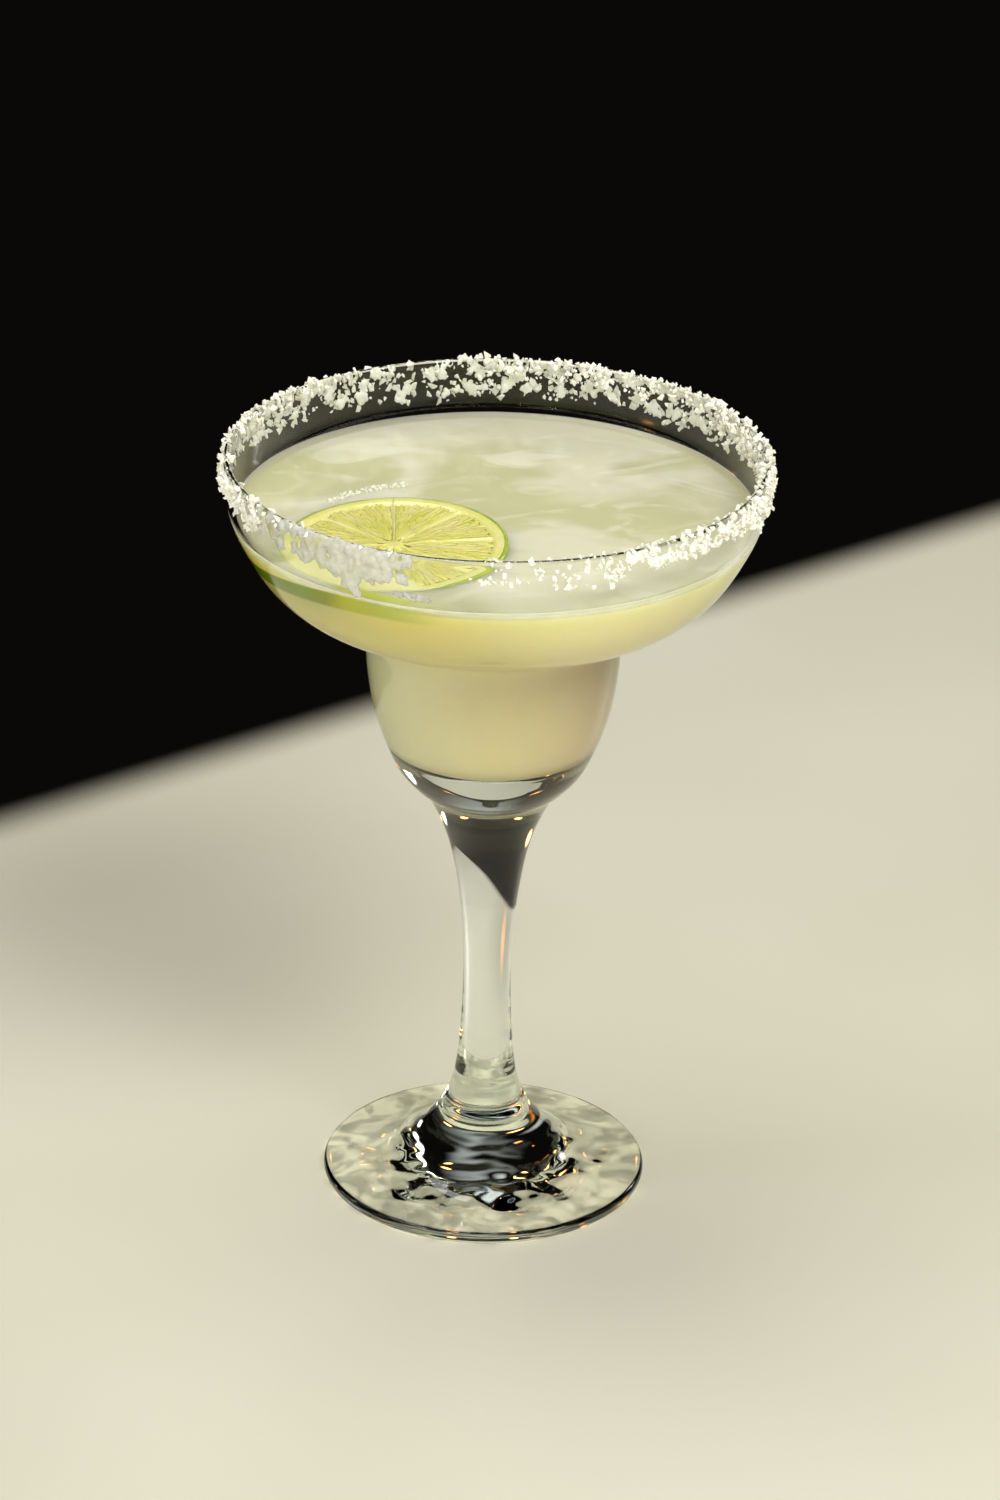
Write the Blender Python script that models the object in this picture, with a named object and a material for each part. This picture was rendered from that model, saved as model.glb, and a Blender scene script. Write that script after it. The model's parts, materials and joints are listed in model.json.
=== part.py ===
# A short-stemmed two-tier cocktail glass with a salted rim, its pale citrus
# drink and a lime wheel floating against the glass. Metres, +Z up, with the
# foot standing on z = 0 and the glass's axis on the origin.

import math
import random

import bmesh
import bpy
from mathutils import Matrix, Vector

MM = 0.001

# The glass
GLASS_HEIGHT = 174.5 * MM
RIM_RADIUS = 59.0 * MM
RIM_WALL = 1.6 * MM
FOOT_RADIUS = 36.4 * MM
FOOT_EDGE = 2.6 * MM
FOOT_ROUND = 1.0 * MM
STEM_RADIUS = 5.4 * MM
CUP_RADIUS = 27.7 * MM
CUP_FLOOR = 101.0 * MM
SHOULDER = 136.5 * MM
TURN_STEPS = 42
EDGE_STEPS = 4
LIP_STEPS = 5
OUTLINE_SLACK = 0.2 * MM
CREASE = math.radians(35.0)

# The drink
DRINK_LEVEL = 161.4 * MM
GAP = 0.3 * MM
POCKET_STEPS = 40
POCKET_HEIGHT = 12.0 * MM

# The lime wheel, cut a little off the fruit's middle, so its rind leans in
LIME_RADIUS = 24.5 * MM
LIME_UNDER_RADIUS = 22.9 * MM
LIME_THICKNESS = 5.0 * MM
LIME_OFFSET = 29.2 * MM
LIME_BEARING = math.radians(222.2)
LIME_TILT = math.radians(2.5)
LIME_ABOVE_LEVEL = 0.4 * MM
LIME_SEGMENTS = 8
LIME_PITH = 2.3 * MM
LIME_RIND = 1.1 * MM
LIME_HUB = 2.4 * MM
MEMBRANE = 0.9 * MM
PULP_SINK = 0.45 * MM
SLIT_BEARING = math.radians(97.0)
SLIT_WIDTH = 0.9 * MM

# Salt round the rim. Each arc has its start and end bearing in degrees, how far
# it hangs below the rim, how much of the glass its crust covers, how many
# crystals stand out of it, and their mean width.
SALT_SEED = 11
CRUST_STEPS = 116
CRUST_THICKNESS = 1.9 * MM
CRUST_SUNK = 0.4 * MM
CRUST_INSIDE = 1.7 * MM
SALT_ARCS = (
    ("right", -20.0, 30.0, 5.5 * MM, 0.95, 13, 2.6 * MM),
    ("back right", 30.0, 98.0, 8.5 * MM, 0.9, 19, 2.8 * MM),
    ("back gap", 98.0, 124.0, 10.5 * MM, 0.12, 6, 2.6 * MM),
    ("back left", 124.0, 166.0, 8.0 * MM, 0.9, 12, 2.9 * MM),
    ("left", 166.0, 212.0, 5.0 * MM, 0.6, 9, 2.4 * MM),
    ("wet clump", 212.0, 256.0, 8.5 * MM, 0.97, 10, 3.2 * MM),
    ("front gap", 256.0, 280.0, 6.5 * MM, 0.05, 4, 2.0 * MM),
    ("front right", 280.0, 340.0, 4.8 * MM, 0.75, 15, 2.4 * MM),
)


def clear_scene():
    for item in list(bpy.data.objects):
        bpy.data.objects.remove(item, do_unlink=True)


def plain_material(name, colour, roughness, alpha=1.0):
    material = bpy.data.materials.new(name)
    material.use_nodes = True
    shader = material.node_tree.nodes["Principled BSDF"]
    shader.inputs["Base Color"].default_value = (*colour, 1.0)
    shader.inputs["Roughness"].default_value = roughness
    shader.inputs["Alpha"].default_value = alpha
    return material


def new_object(name, mesh, material):
    item = bpy.data.objects.new(name, mesh)
    bpy.context.scene.collection.objects.link(item)
    mesh.materials.append(material)
    return item


def finish_mesh(name, bm, crease=CREASE):
    bmesh.ops.recalc_face_normals(bm, faces=bm.faces)
    mesh = bpy.data.meshes.new(name)
    bm.to_mesh(mesh)
    bm.free()
    mesh.shade_smooth()
    mesh.set_sharp_from_angle(angle=crease)
    return mesh


# Outlines, as (radius, height) pairs


def smooth_line(stations, steps=8):
    """A Catmull-Rom curve through the stations."""
    points = [Vector(station) for station in stations]
    ends = [2 * points[0] - points[1]] + points + [2 * points[-1] - points[-2]]
    line = []
    for before, start, end, after in zip(ends, ends[1:], ends[2:], ends[3:]):
        for step in range(steps):
            t = step / steps
            line.append(
                0.5 * (2 * start + (end - before) * t
                       + (2 * before - 5 * start + 4 * end - after) * t ** 2
                       + (3 * start - before - 3 * end + after) * t ** 3)
            )
    line.append(points[-1])
    return line


def thin_out(line, slack):
    """Keep only the points that hold the line within the slack."""
    start, end = line[0], line[-1]
    along = (end - start).normalized()
    across = [abs((p - start).cross(along)) for p in line]
    far = max(range(len(line)), key=across.__getitem__)
    if across[far] <= slack:
        return [start, end]
    return thin_out(line[:far + 1], slack)[:-1] + thin_out(line[far:], slack)


def outer_outline():
    """From the foot's edge up to just under the lip."""
    foot = [
        (FOOT_RADIUS - FOOT_ROUND, FOOT_EDGE),
        (28.0 * MM, FOOT_EDGE + 0.9 * MM),
        (20.6 * MM, 5.6 * MM),
        (15.6 * MM, 10.0 * MM),
        (11.0 * MM, 15.0 * MM),
        (8.9 * MM, 18.9 * MM),
    ]
    stem = [
        (7.9 * MM, 21.2 * MM),
        (6.9 * MM, 25.5 * MM),
        (6.1 * MM, 32.0 * MM),
        (STEM_RADIUS, 46.0 * MM),
        (5.7 * MM, 61.0 * MM),
        (7.4 * MM, 75.0 * MM),
        (9.9 * MM, 85.0 * MM),
        (14.3 * MM, 94.6 * MM),
    ]
    cup = [
        (17.6 * MM, 98.3 * MM),
        (21.0 * MM, 102.4 * MM),
        (24.3 * MM, 109.8 * MM),
        (26.5 * MM, 117.5 * MM),
        (CUP_RADIUS, 126.0 * MM),
        (CUP_RADIUS + 0.4 * MM, SHOULDER - 3.0 * MM),
        (CUP_RADIUS + 1.6 * MM, SHOULDER),
    ]
    bowl = [
        (33.5 * MM, 138.6 * MM),
        (40.0 * MM, 141.2 * MM),
        (46.0 * MM, 144.6 * MM),
        (51.0 * MM, 149.5 * MM),
        (55.0 * MM, 156.0 * MM),
        (57.8 * MM, 162.4 * MM),
        (58.7 * MM, 168.5 * MM),
        (RIM_RADIUS, GLASS_HEIGHT - RIM_WALL / 2),
    ]
    return thin_out(smooth_line(foot + stem + cup + bowl), OUTLINE_SLACK)


def inner_outline():
    """From the middle of the cup's floor up to just under the lip."""
    cup = [
        (0.0, CUP_FLOOR),
        (4.0 * MM, CUP_FLOOR + 0.6 * MM),
        (8.0 * MM, 103.0 * MM),
        (12.0 * MM, 104.55 * MM),
        (16.0 * MM, 106.0 * MM),
        (20.0 * MM, 107.4 * MM),
        (22.3 * MM, 109.2 * MM),
        (23.5 * MM, 112.6 * MM),
        (24.4 * MM, 118.5 * MM),
        (25.2 * MM, 127.0 * MM),
        (25.8 * MM, SHOULDER - 0.3 * MM),
        (27.6 * MM, SHOULDER + 2.5 * MM),
    ]
    bowl = [
        (33.0 * MM, 140.9 * MM),
        (39.3 * MM, 143.4 * MM),
        (44.9 * MM, 146.6 * MM),
        (49.4 * MM, 151.0 * MM),
        (53.3 * MM, 157.0 * MM),
        (56.2 * MM, 162.6 * MM),
        (57.1 * MM, 168.5 * MM),
        (RIM_RADIUS - RIM_WALL, GLASS_HEIGHT - RIM_WALL / 2),
    ]
    return thin_out(smooth_line(cup + bowl), OUTLINE_SLACK)


def round_corner(middle, radius_across, radius_up, start, end, steps):
    """Points on an elliptic bend, by bearing in degrees, ends included."""
    points = []
    for step in range(steps + 1):
        turn = math.radians(start + (end - start) * step / steps)
        points.append(Vector((
            middle[0] + radius_across * math.cos(turn),
            middle[1] + radius_up * math.sin(turn),
        )))
    return points


def glass_outline():
    """The whole wall: under the foot, up the outside, over the lip, down the inside."""
    edge_middle = (FOOT_RADIUS - FOOT_ROUND, FOOT_EDGE / 2)
    edge = round_corner(edge_middle, FOOT_ROUND, FOOT_EDGE / 2, -90.0, 60.0, EDGE_STEPS)
    lip_middle = (RIM_RADIUS - RIM_WALL / 2, GLASS_HEIGHT - RIM_WALL / 2)
    lip = round_corner(lip_middle, RIM_WALL / 2, RIM_WALL / 2, 0.0, 180.0, LIP_STEPS)
    inside = list(reversed(inner_outline()))
    return [Vector((0.0, 0.0))] + edge + outer_outline() + lip[1:-1] + inside


def radius_at(outline, height):
    """The outline's radius at a height, on its rising stretch."""
    for low, high in zip(outline, outline[1:]):
        if low.y <= height <= high.y:
            share = (height - low.y) / (high.y - low.y)
            return low.x + (high.x - low.x) * share
    return outline[-1].x


def drawn_in(outline, distance):
    """The outline moved towards the axis and up, square to itself."""
    moved = []
    for index, point in enumerate(outline):
        before = outline[max(index - 1, 0)]
        after = outline[min(index + 1, len(outline) - 1)]
        along = (after - before).normalized()
        shifted = point + Vector((-along.y, along.x)) * distance
        moved.append(Vector((max(shifted.x, 0.0), shifted.y)))
    moved[0].x = 0.0
    return moved


def turned(name, outline):
    """A closed solid of revolution; the outline starts and ends on the axis."""
    bm = bmesh.new()
    rings = []
    for point in outline:
        if point.x < 1e-7:
            rings.append([bm.verts.new((0.0, 0.0, point.y))])
            continue
        ring = []
        for step in range(TURN_STEPS):
            turn = 2 * math.pi * step / TURN_STEPS
            ring.append(bm.verts.new((point.x * math.cos(turn), point.x * math.sin(turn), point.y)))
        rings.append(ring)
    for lower, upper in zip(rings, rings[1:]):
        for step in range(TURN_STEPS):
            after = (step + 1) % TURN_STEPS
            if len(lower) == 1:
                bm.faces.new((lower[0], upper[after], upper[step]))
            elif len(upper) == 1:
                bm.faces.new((lower[step], lower[after], upper[0]))
            else:
                bm.faces.new((lower[step], lower[after], upper[after], upper[step]))
    return finish_mesh(name, bm)


# Salt


def grain_mesh(name, width, draw):
    """One angular crystal: a flattened ball of twenty facets, knocked out of true."""
    bm = bmesh.new()
    bmesh.ops.create_icosphere(bm, subdivisions=1, radius=width / 2)
    stretch = Vector((draw.uniform(0.9, 1.25), draw.uniform(0.75, 1.0), draw.uniform(0.5, 0.8)))
    for vert in bm.verts:
        knock = draw.uniform(0.82, 1.12)
        vert.co = Vector((vert.co.x * stretch.x, vert.co.y * stretch.y, vert.co.z * stretch.z)) * knock
    first, tip, last = draw.uniform(0, math.tau), draw.uniform(0, math.pi), draw.uniform(0, math.tau)
    turn = Matrix.Rotation(first, 4, "Z") @ Matrix.Rotation(tip, 4, "X")
    bm.transform(turn @ Matrix.Rotation(last, 4, "Z"))
    hull = bmesh.ops.convex_hull(bm, input=bm.verts)
    inner = [item for item in hull["geom_interior"] if isinstance(item, bmesh.types.BMVert)]
    bmesh.ops.delete(bm, geom=inner, context="VERTS")
    bmesh.ops.recalc_face_normals(bm, faces=bm.faces)
    mesh = bpy.data.meshes.new(name)
    bm.to_mesh(mesh)
    bm.free()
    return mesh


def salt_arc(bearing):
    """The arc that a bearing in degrees falls in."""
    for arc in SALT_ARCS:
        if (bearing - arc[1]) % 360.0 < arc[2] - arc[1]:
            return arc
    return SALT_ARCS[0]


def crust_section(outer, inner, arc, draw):
    """One cut through the crust: from its core in the wall round the outside, lip and inside."""
    drop, cover = arc[3] * draw.uniform(0.7, 1.15), arc[4]

    def lift():
        if draw.random() > cover:
            return -CRUST_SUNK
        return CRUST_THICKNESS * draw.uniform(0.15, 1.0)

    lip = Vector((RIM_RADIUS - RIM_WALL / 2, GLASS_HEIGHT - RIM_WALL / 2))
    lowest = GLASS_HEIGHT - drop
    middle_of_wall = (radius_at(outer, lowest) + radius_at(inner, lowest)) / 2
    section = [
        Vector((lip.x, GLASS_HEIGHT - CRUST_INSIDE - 0.5 * MM)),
        Vector((middle_of_wall, lowest)),
    ]
    for share in (0.85, 0.55, 0.25):
        height = GLASS_HEIGHT - drop * share
        thinned = lift() * min(1.0, 1.6 * (1.1 - share))
        section.append(Vector((radius_at(outer, height) + thinned, height)))
    for turn in (50.0, 125.0):
        reach = RIM_WALL / 2 + lift() * 0.85
        section.append(lip + reach * Vector((math.cos(math.radians(turn)), math.sin(math.radians(turn)))))
    height = GLASS_HEIGHT - CRUST_INSIDE
    section.append(Vector((radius_at(inner, height) - lift() * 0.5, height)))
    return section


def salt_crust(outer, inner, draw):
    """A craggy ring round the rim; where the glass is bare it stays sunk in the wall."""
    bm = bmesh.new()
    rings = []
    for step in range(CRUST_STEPS):
        bearing = 360.0 * step / CRUST_STEPS
        ring = []
        for point in crust_section(outer, inner, salt_arc(bearing), draw):
            turn = math.radians(bearing + draw.uniform(-0.3, 0.3) * 360.0 / CRUST_STEPS)
            ring.append(bm.verts.new((point.x * math.cos(turn), point.x * math.sin(turn), point.y)))
        rings.append(ring)
    for here, after in zip(rings, rings[1:] + rings[:1]):
        for index in range(len(here)):
            beyond = (index + 1) % len(here)
            bm.faces.new((here[index], here[beyond], after[beyond], after[index]))
    bmesh.ops.triangulate(bm, faces=bm.faces)
    bmesh.ops.recalc_face_normals(bm, faces=bm.faces)
    mesh = bpy.data.meshes.new("salt_crust")
    bm.to_mesh(mesh)
    bm.free()
    return bpy.data.objects.new("salt_crust", mesh)


def salt(outer, inner):
    """The crust and the crystals that stand out of it, to be joined to the glass."""
    draw = random.Random(SALT_SEED)
    collection = bpy.data.collections.new("salt")
    bpy.context.scene.collection.children.link(collection)
    collection.objects.link(salt_crust(outer, inner, draw))
    for label, start, end, drop, cover, count, mean_width in SALT_ARCS:
        for index in range(count):
            bearing = math.radians(start + (end - start) * (index + draw.uniform(0.1, 0.9)) / count)
            width = mean_width * draw.uniform(0.75, 1.3)
            below = drop * draw.uniform(0.1, 1.15)
            height = GLASS_HEIGHT - below
            radius = radius_at(outer, height) + 0.2 * width + 0.35 * cover * CRUST_THICKNESS
            if below < 1.4 * MM:
                height = GLASS_HEIGHT + 0.12 * width
                radius = RIM_RADIUS - RIM_WALL * draw.uniform(0.1, 0.9)
            name = f"{label.replace(' ', '_')}_{index}"
            grain = bpy.data.objects.new(name, grain_mesh(name, width, draw))
            grain.location = (radius * math.cos(bearing), radius * math.sin(bearing), height)
            collection.objects.link(grain)
    return collection


def apply_boolean(item, operation, cutter=None, collection=None):
    modifier = item.modifiers.new("join", "BOOLEAN")
    modifier.operation = operation
    modifier.solver = "EXACT"
    if collection:
        modifier.operand_type = "COLLECTION"
        modifier.collection = collection
    else:
        modifier.object = cutter
    bpy.context.view_layer.update()
    evaluated = item.evaluated_get(bpy.context.evaluated_depsgraph_get())
    mesh = bpy.data.meshes.new_from_object(evaluated)
    item.modifiers.clear()
    item.data = mesh


def keep_one_body(mesh):
    """Fill hollows that the joining sealed and drop scraps: only the largest shell stays."""
    bm = bmesh.new()
    bm.from_mesh(mesh)
    left = set(bm.faces)
    shells = []
    while left:
        shell = [left.pop()]
        for face in shell:
            for edge in face.edges:
                for other in edge.link_faces:
                    if other in left:
                        left.remove(other)
                        shell.append(other)
        shells.append(shell)
    shells.sort(key=len)
    for shell in shells[:-1]:
        bmesh.ops.delete(bm, geom=shell, context="FACES")
    bmesh.ops.triangulate(bm, faces=bm.faces)
    bm.to_mesh(mesh)
    bm.free()
    mesh.shade_smooth()
    mesh.set_sharp_from_angle(angle=CREASE)


def make_glass():
    material = plain_material("glass", (0.86, 0.91, 0.88), 0.03, alpha=0.35)
    glass = new_object("glass", turned("glass", glass_outline()), material)
    crystals = salt(outer_outline(), inner_outline())
    apply_boolean(glass, "UNION", collection=crystals)
    for crystal in list(crystals.objects):
        bpy.data.objects.remove(crystal, do_unlink=True)
    bpy.data.collections.remove(crystals)
    keep_one_body(glass.data)
    return glass


# The lime wheel


def lime_place():
    """Where the wheel floats: out at the wall on its bearing, its outer edge dipped."""
    out = Vector((math.cos(LIME_BEARING), math.sin(LIME_BEARING), 0.0))
    tangent = Vector((0.0, 0.0, 1.0)).cross(out)
    middle = out * LIME_OFFSET + Vector((0.0, 0.0, DRINK_LEVEL + LIME_ABOVE_LEVEL))
    return Matrix.Translation(middle) @ Matrix.Rotation(LIME_TILT, 4, tangent)


def lime_bearings():
    """Bearings round the wheel: both sides of every membrane, the slit's sides, and between."""
    sector = 2 * math.pi / LIME_SEGMENTS
    half = MEMBRANE / 2 / (LIME_RADIUS * 0.6)
    slit = SLIT_WIDTH / 2 / LIME_RADIUS
    bearings = []
    for index in range(LIME_SEGMENTS):
        middle = SLIT_BEARING + index * sector
        if index == 0:
            bearings += [(middle - slit, "slit start"), (middle + slit, "slit end")]
        bearings.append((middle + (half if index else half + slit), "edge"))
        for share in (0.3, 0.5, 0.7):
            bearings.append((middle + sector * share, "pulp"))
        last = half + slit if index == LIME_SEGMENTS - 1 else half
        bearings.append((middle + sector - last, "edge"))
    return bearings


def lime_mesh():
    """Both faces on one net of rings and bearings, the pulp sunk between its membranes."""
    bearings = lime_bearings()
    pulp_edge = LIME_RADIUS - LIME_RIND - LIME_PITH
    rings = [LIME_HUB, LIME_HUB + 1.2 * MM, 0.5 * (LIME_HUB + pulp_edge), pulp_edge - 1.3 * MM,
             pulp_edge, LIME_RADIUS - 0.7 * MM]
    sunk = {1: 0.7, 2: 1.0, 3: 0.9}
    bm = bmesh.new()

    def face_net(height, radius_share, sink):
        hub = bm.verts.new((0.0, 0.0, height))
        net = []
        for number, radius in enumerate(rings):
            row = []
            for turn, kind in bearings:
                depth = sink * sunk.get(number, 0.0) if kind == "pulp" else 0.0
                reach = radius * radius_share
                row.append(bm.verts.new((reach * math.cos(turn), reach * math.sin(turn), height - depth)))
            net.append(row)
        return hub, net

    lean = LIME_UNDER_RADIUS / LIME_RADIUS
    top_hub, top = face_net(0.0, 1.0, PULP_SINK)
    low_hub, low = face_net(-LIME_THICKNESS, lean, -PULP_SINK)
    for height, radius in ((-0.7 * MM, LIME_RADIUS), (0.6 * MM - LIME_THICKNESS, LIME_UNDER_RADIUS)):
        row = []
        for turn, kind in bearings:
            row.append(bm.verts.new((radius * math.cos(turn), radius * math.sin(turn), height)))
        top.append(row)
    low.append(top.pop())
    count = len(bearings)
    for index in range(count):
        after = (index + 1) % count
        bm.faces.new((top_hub, top[0][index], top[0][after]))
        bm.faces.new((low_hub, low[0][after], low[0][index]))
        if bearings[index][1] == "slit start":
            bm.faces.new((top[0][index], low[0][index], low[0][after], top[0][after]))
            continue
        for ring in range(len(top) - 1):
            bm.faces.new((top[ring][index], top[ring + 1][index], top[ring + 1][after], top[ring][after]))
            bm.faces.new((low[ring][index], low[ring][after], low[ring + 1][after], low[ring + 1][index]))
        bm.faces.new((top[-1][index], low[-1][index], low[-1][after], top[-1][after]))
    for side in (0, 1):
        for ring in range(len(top) - 1):
            wall = (top[ring][side], low[ring][side], low[ring + 1][side], top[ring + 1][side])
            bm.faces.new(wall if side == 0 else tuple(reversed(wall)))
    return finish_mesh("lime_wheel", bm, math.radians(50.0))


def make_lime():
    material = plain_material("lime", (0.62, 0.68, 0.20), 0.35)
    mesh = lime_mesh()
    mesh.transform(lime_place())
    return new_object("lime_wheel", mesh, material)


# The drink


def pocket_cutter():
    """The wheel's room in the drink, open upwards."""
    bm = bmesh.new()
    loops = []
    for height, radius in (
        (-LIME_THICKNESS - GAP, LIME_UNDER_RADIUS + GAP),
        (GAP, LIME_RADIUS + 1.2 * GAP),
        (POCKET_HEIGHT, LIME_RADIUS + 1.2 * GAP),
    ):
        turns = [2 * math.pi * (step + 0.5) / POCKET_STEPS for step in range(POCKET_STEPS)]
        loops.append([bm.verts.new((radius * math.cos(t), radius * math.sin(t), height)) for t in turns])
    for lower, upper in zip(loops, loops[1:]):
        for step in range(POCKET_STEPS):
            after = (step + 1) % POCKET_STEPS
            bm.faces.new((lower[step], lower[after], upper[after], upper[step]))
    bm.faces.new(list(reversed(loops[0])))
    bm.faces.new(loops[-1])
    mesh = finish_mesh("lime_pocket", bm)
    mesh.transform(lime_place())
    cutter = bpy.data.objects.new("lime_pocket", mesh)
    cutter.hide_render = True
    cutter.display_type = "WIRE"
    bpy.context.scene.collection.objects.link(cutter)
    return cutter


def drink_outline():
    """The glass's inside less the gap, closed flat at the drink's level."""
    inside = drawn_in(inner_outline(), GAP)
    line = [point for point in inside if point.y < DRINK_LEVEL - 0.5 * MM]
    line.append(Vector((radius_at(inside, DRINK_LEVEL), DRINK_LEVEL)))
    line.append(Vector((0.0, DRINK_LEVEL)))
    return line


def make_drink():
    material = plain_material("drink", (0.80, 0.78, 0.52), 0.15)
    drink = new_object("drink", turned("drink", drink_outline()), material)
    cutter = pocket_cutter()
    apply_boolean(drink, "DIFFERENCE", cutter=cutter)
    bpy.data.objects.remove(cutter, do_unlink=True)
    keep_one_body(drink.data)
    return drink


clear_scene()
make_glass()
make_drink()
make_lime()
for item in bpy.data.objects:
    print(item.name, len(item.data.polygons), "faces")
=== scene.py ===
import json
import math
import random

import bmesh
import bpy
from mathutils import Matrix, Vector, noise

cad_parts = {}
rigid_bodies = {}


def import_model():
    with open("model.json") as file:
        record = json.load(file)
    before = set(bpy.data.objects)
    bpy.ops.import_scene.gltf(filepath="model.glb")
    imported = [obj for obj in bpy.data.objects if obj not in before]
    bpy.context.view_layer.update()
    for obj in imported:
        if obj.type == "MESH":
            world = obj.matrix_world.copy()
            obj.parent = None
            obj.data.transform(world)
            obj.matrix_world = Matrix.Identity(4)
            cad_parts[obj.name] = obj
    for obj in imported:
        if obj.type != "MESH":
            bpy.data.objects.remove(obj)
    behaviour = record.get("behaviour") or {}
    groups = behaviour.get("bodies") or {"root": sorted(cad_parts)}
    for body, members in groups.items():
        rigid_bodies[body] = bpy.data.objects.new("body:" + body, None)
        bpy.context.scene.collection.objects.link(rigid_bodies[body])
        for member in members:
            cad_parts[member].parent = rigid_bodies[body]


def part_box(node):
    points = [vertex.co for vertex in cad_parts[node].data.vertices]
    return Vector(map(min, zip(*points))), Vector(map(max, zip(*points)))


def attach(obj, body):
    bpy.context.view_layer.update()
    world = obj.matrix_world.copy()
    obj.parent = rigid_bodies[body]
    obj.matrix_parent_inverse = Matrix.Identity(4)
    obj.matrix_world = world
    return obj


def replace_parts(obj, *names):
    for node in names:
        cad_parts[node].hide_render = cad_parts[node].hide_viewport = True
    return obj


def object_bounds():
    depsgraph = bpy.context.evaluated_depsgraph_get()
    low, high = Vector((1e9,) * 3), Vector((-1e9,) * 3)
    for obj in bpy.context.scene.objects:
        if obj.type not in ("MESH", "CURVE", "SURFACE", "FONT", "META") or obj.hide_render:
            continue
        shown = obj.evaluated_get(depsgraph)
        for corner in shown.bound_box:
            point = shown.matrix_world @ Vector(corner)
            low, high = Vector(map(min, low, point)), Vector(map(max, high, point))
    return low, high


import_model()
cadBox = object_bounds()

mm = 0.001
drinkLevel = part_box("drink")[1][2]  # the drink's flat top in the solids
drinkIndex = 1.34
up = Vector((0.0, 0.0, 1.0))
print("frame loaded, drink level at", round(drinkLevel / mm, 1), "mm")


# The camera, where it stood for the photograph

cameraPlace = {
    "lens": 133.19,
    "sensor": 36.0,  # the long side, in mm like the lens
    "nearest": 50.0 * mm,
    "aim height": 100.0 * mm,
    "distance": 1225.55 * mm,
    "elevation": 25.164,
    "pan": 0.0887,
    "tilt": 0.1972,
    "roll": 1.1332,
}


def placeCamera():
    rise, pan, tilt, roll = (math.radians(cameraPlace[key]) for key in ("elevation", "pan", "tilt", "roll"))
    ahead = Vector((0.0, math.cos(rise), -math.sin(rise)))
    spot = up * cameraPlace["aim height"] - ahead * cameraPlace["distance"]
    right = Vector((1.0, 0.0, 0.0))
    top = right.cross(ahead)
    ahead, right = ahead * math.cos(pan) + right * math.sin(pan), right * math.cos(pan) - ahead * math.sin(pan)
    ahead, top = ahead * math.cos(tilt) + top * math.sin(tilt), top * math.cos(tilt) - ahead * math.sin(tilt)
    right, top = right * math.cos(roll) + top * math.sin(roll), top * math.cos(roll) - right * math.sin(roll)
    lens = bpy.data.cameras.new("camera")
    lens.lens = cameraPlace["lens"]
    lens.sensor_width = cameraPlace["sensor"]
    lens.clip_start = cameraPlace["nearest"]
    camera = bpy.data.objects.new("camera", lens)
    camera.matrix_world = Matrix.Translation(spot) @ Matrix((right, top, -ahead)).transposed().to_4x4()
    bpy.context.scene.collection.objects.link(camera)
    bpy.context.scene.camera = camera


placeCamera()
print("camera placed")


# Helpers for shader and geometry nodes


def tint(red, green, blue):  # 0 to 255, as a screen shows it
    def linear(value):
        value /= 255.0
        return value / 12.92 if value <= 0.04045 else ((value + 0.055) / 1.055) ** 2.4
    return (linear(red), linear(green), linear(blue), 1.0)


def addNode(tree, kind, sockets=None, **settings):
    node = tree.nodes.new(kind)
    for name, value in settings.items():
        setattr(node, name, value)
    for key, value in (sockets or {}).items():
        if isinstance(value, bpy.types.NodeSocket):
            tree.links.new(value, node.inputs[key])
        else:
            node.inputs[key].default_value = value
    return node


def mathNode(tree, operation, first, second=0.0, clamp=False):
    return addNode(tree, "ShaderNodeMath", {0: first, 1: second}, operation=operation, use_clamp=clamp).outputs[0]


def mixColour(tree, factor, first, second, blend="MIX"):
    node = addNode(tree, "ShaderNodeMix", {0: factor, 6: first, 7: second}, data_type="RGBA", blend_type=blend)
    return node.outputs[2]


def ramp(tree, value, low, high, start=0.0, end=1.0):  # a smooth step from low to high
    node = addNode(tree, "ShaderNodeMapRange", {0: value, 1: low, 2: high, 3: start, 4: end},
                   interpolation_type="SMOOTHSTEP")
    return node.outputs[0]


def colourBands(tree, value, stops):
    node = addNode(tree, "ShaderNodeValToRGB", {0: value})
    while len(node.color_ramp.elements) < len(stops):
        node.color_ramp.elements.new(0.5)
    for element, (place, colour) in zip(node.color_ramp.elements, stops):
        element.position = place
        element.color = colour
    return node.outputs[0]


def shaderGroup(name, inputs, outputs):
    tree = bpy.data.node_groups.new(name, "ShaderNodeTree")
    for label, value in inputs.items():
        socket = tree.interface.new_socket(label, in_out="INPUT", socket_type="NodeSocketFloat")
        socket.default_value = value
    for label, kind in outputs.items():
        tree.interface.new_socket(label, in_out="OUTPUT", socket_type=kind)
    return tree, tree.nodes.new("NodeGroupInput"), tree.nodes.new("NodeGroupOutput")


def useGroup(tree, group, values):
    node = tree.nodes.new("ShaderNodeGroup")
    node.node_tree = group
    for label, value in values.items():
        if isinstance(value, bpy.types.NodeSocket):
            tree.links.new(value, node.inputs[label])
        else:
            node.inputs[label].default_value = value
    return node.outputs[0]


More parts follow.
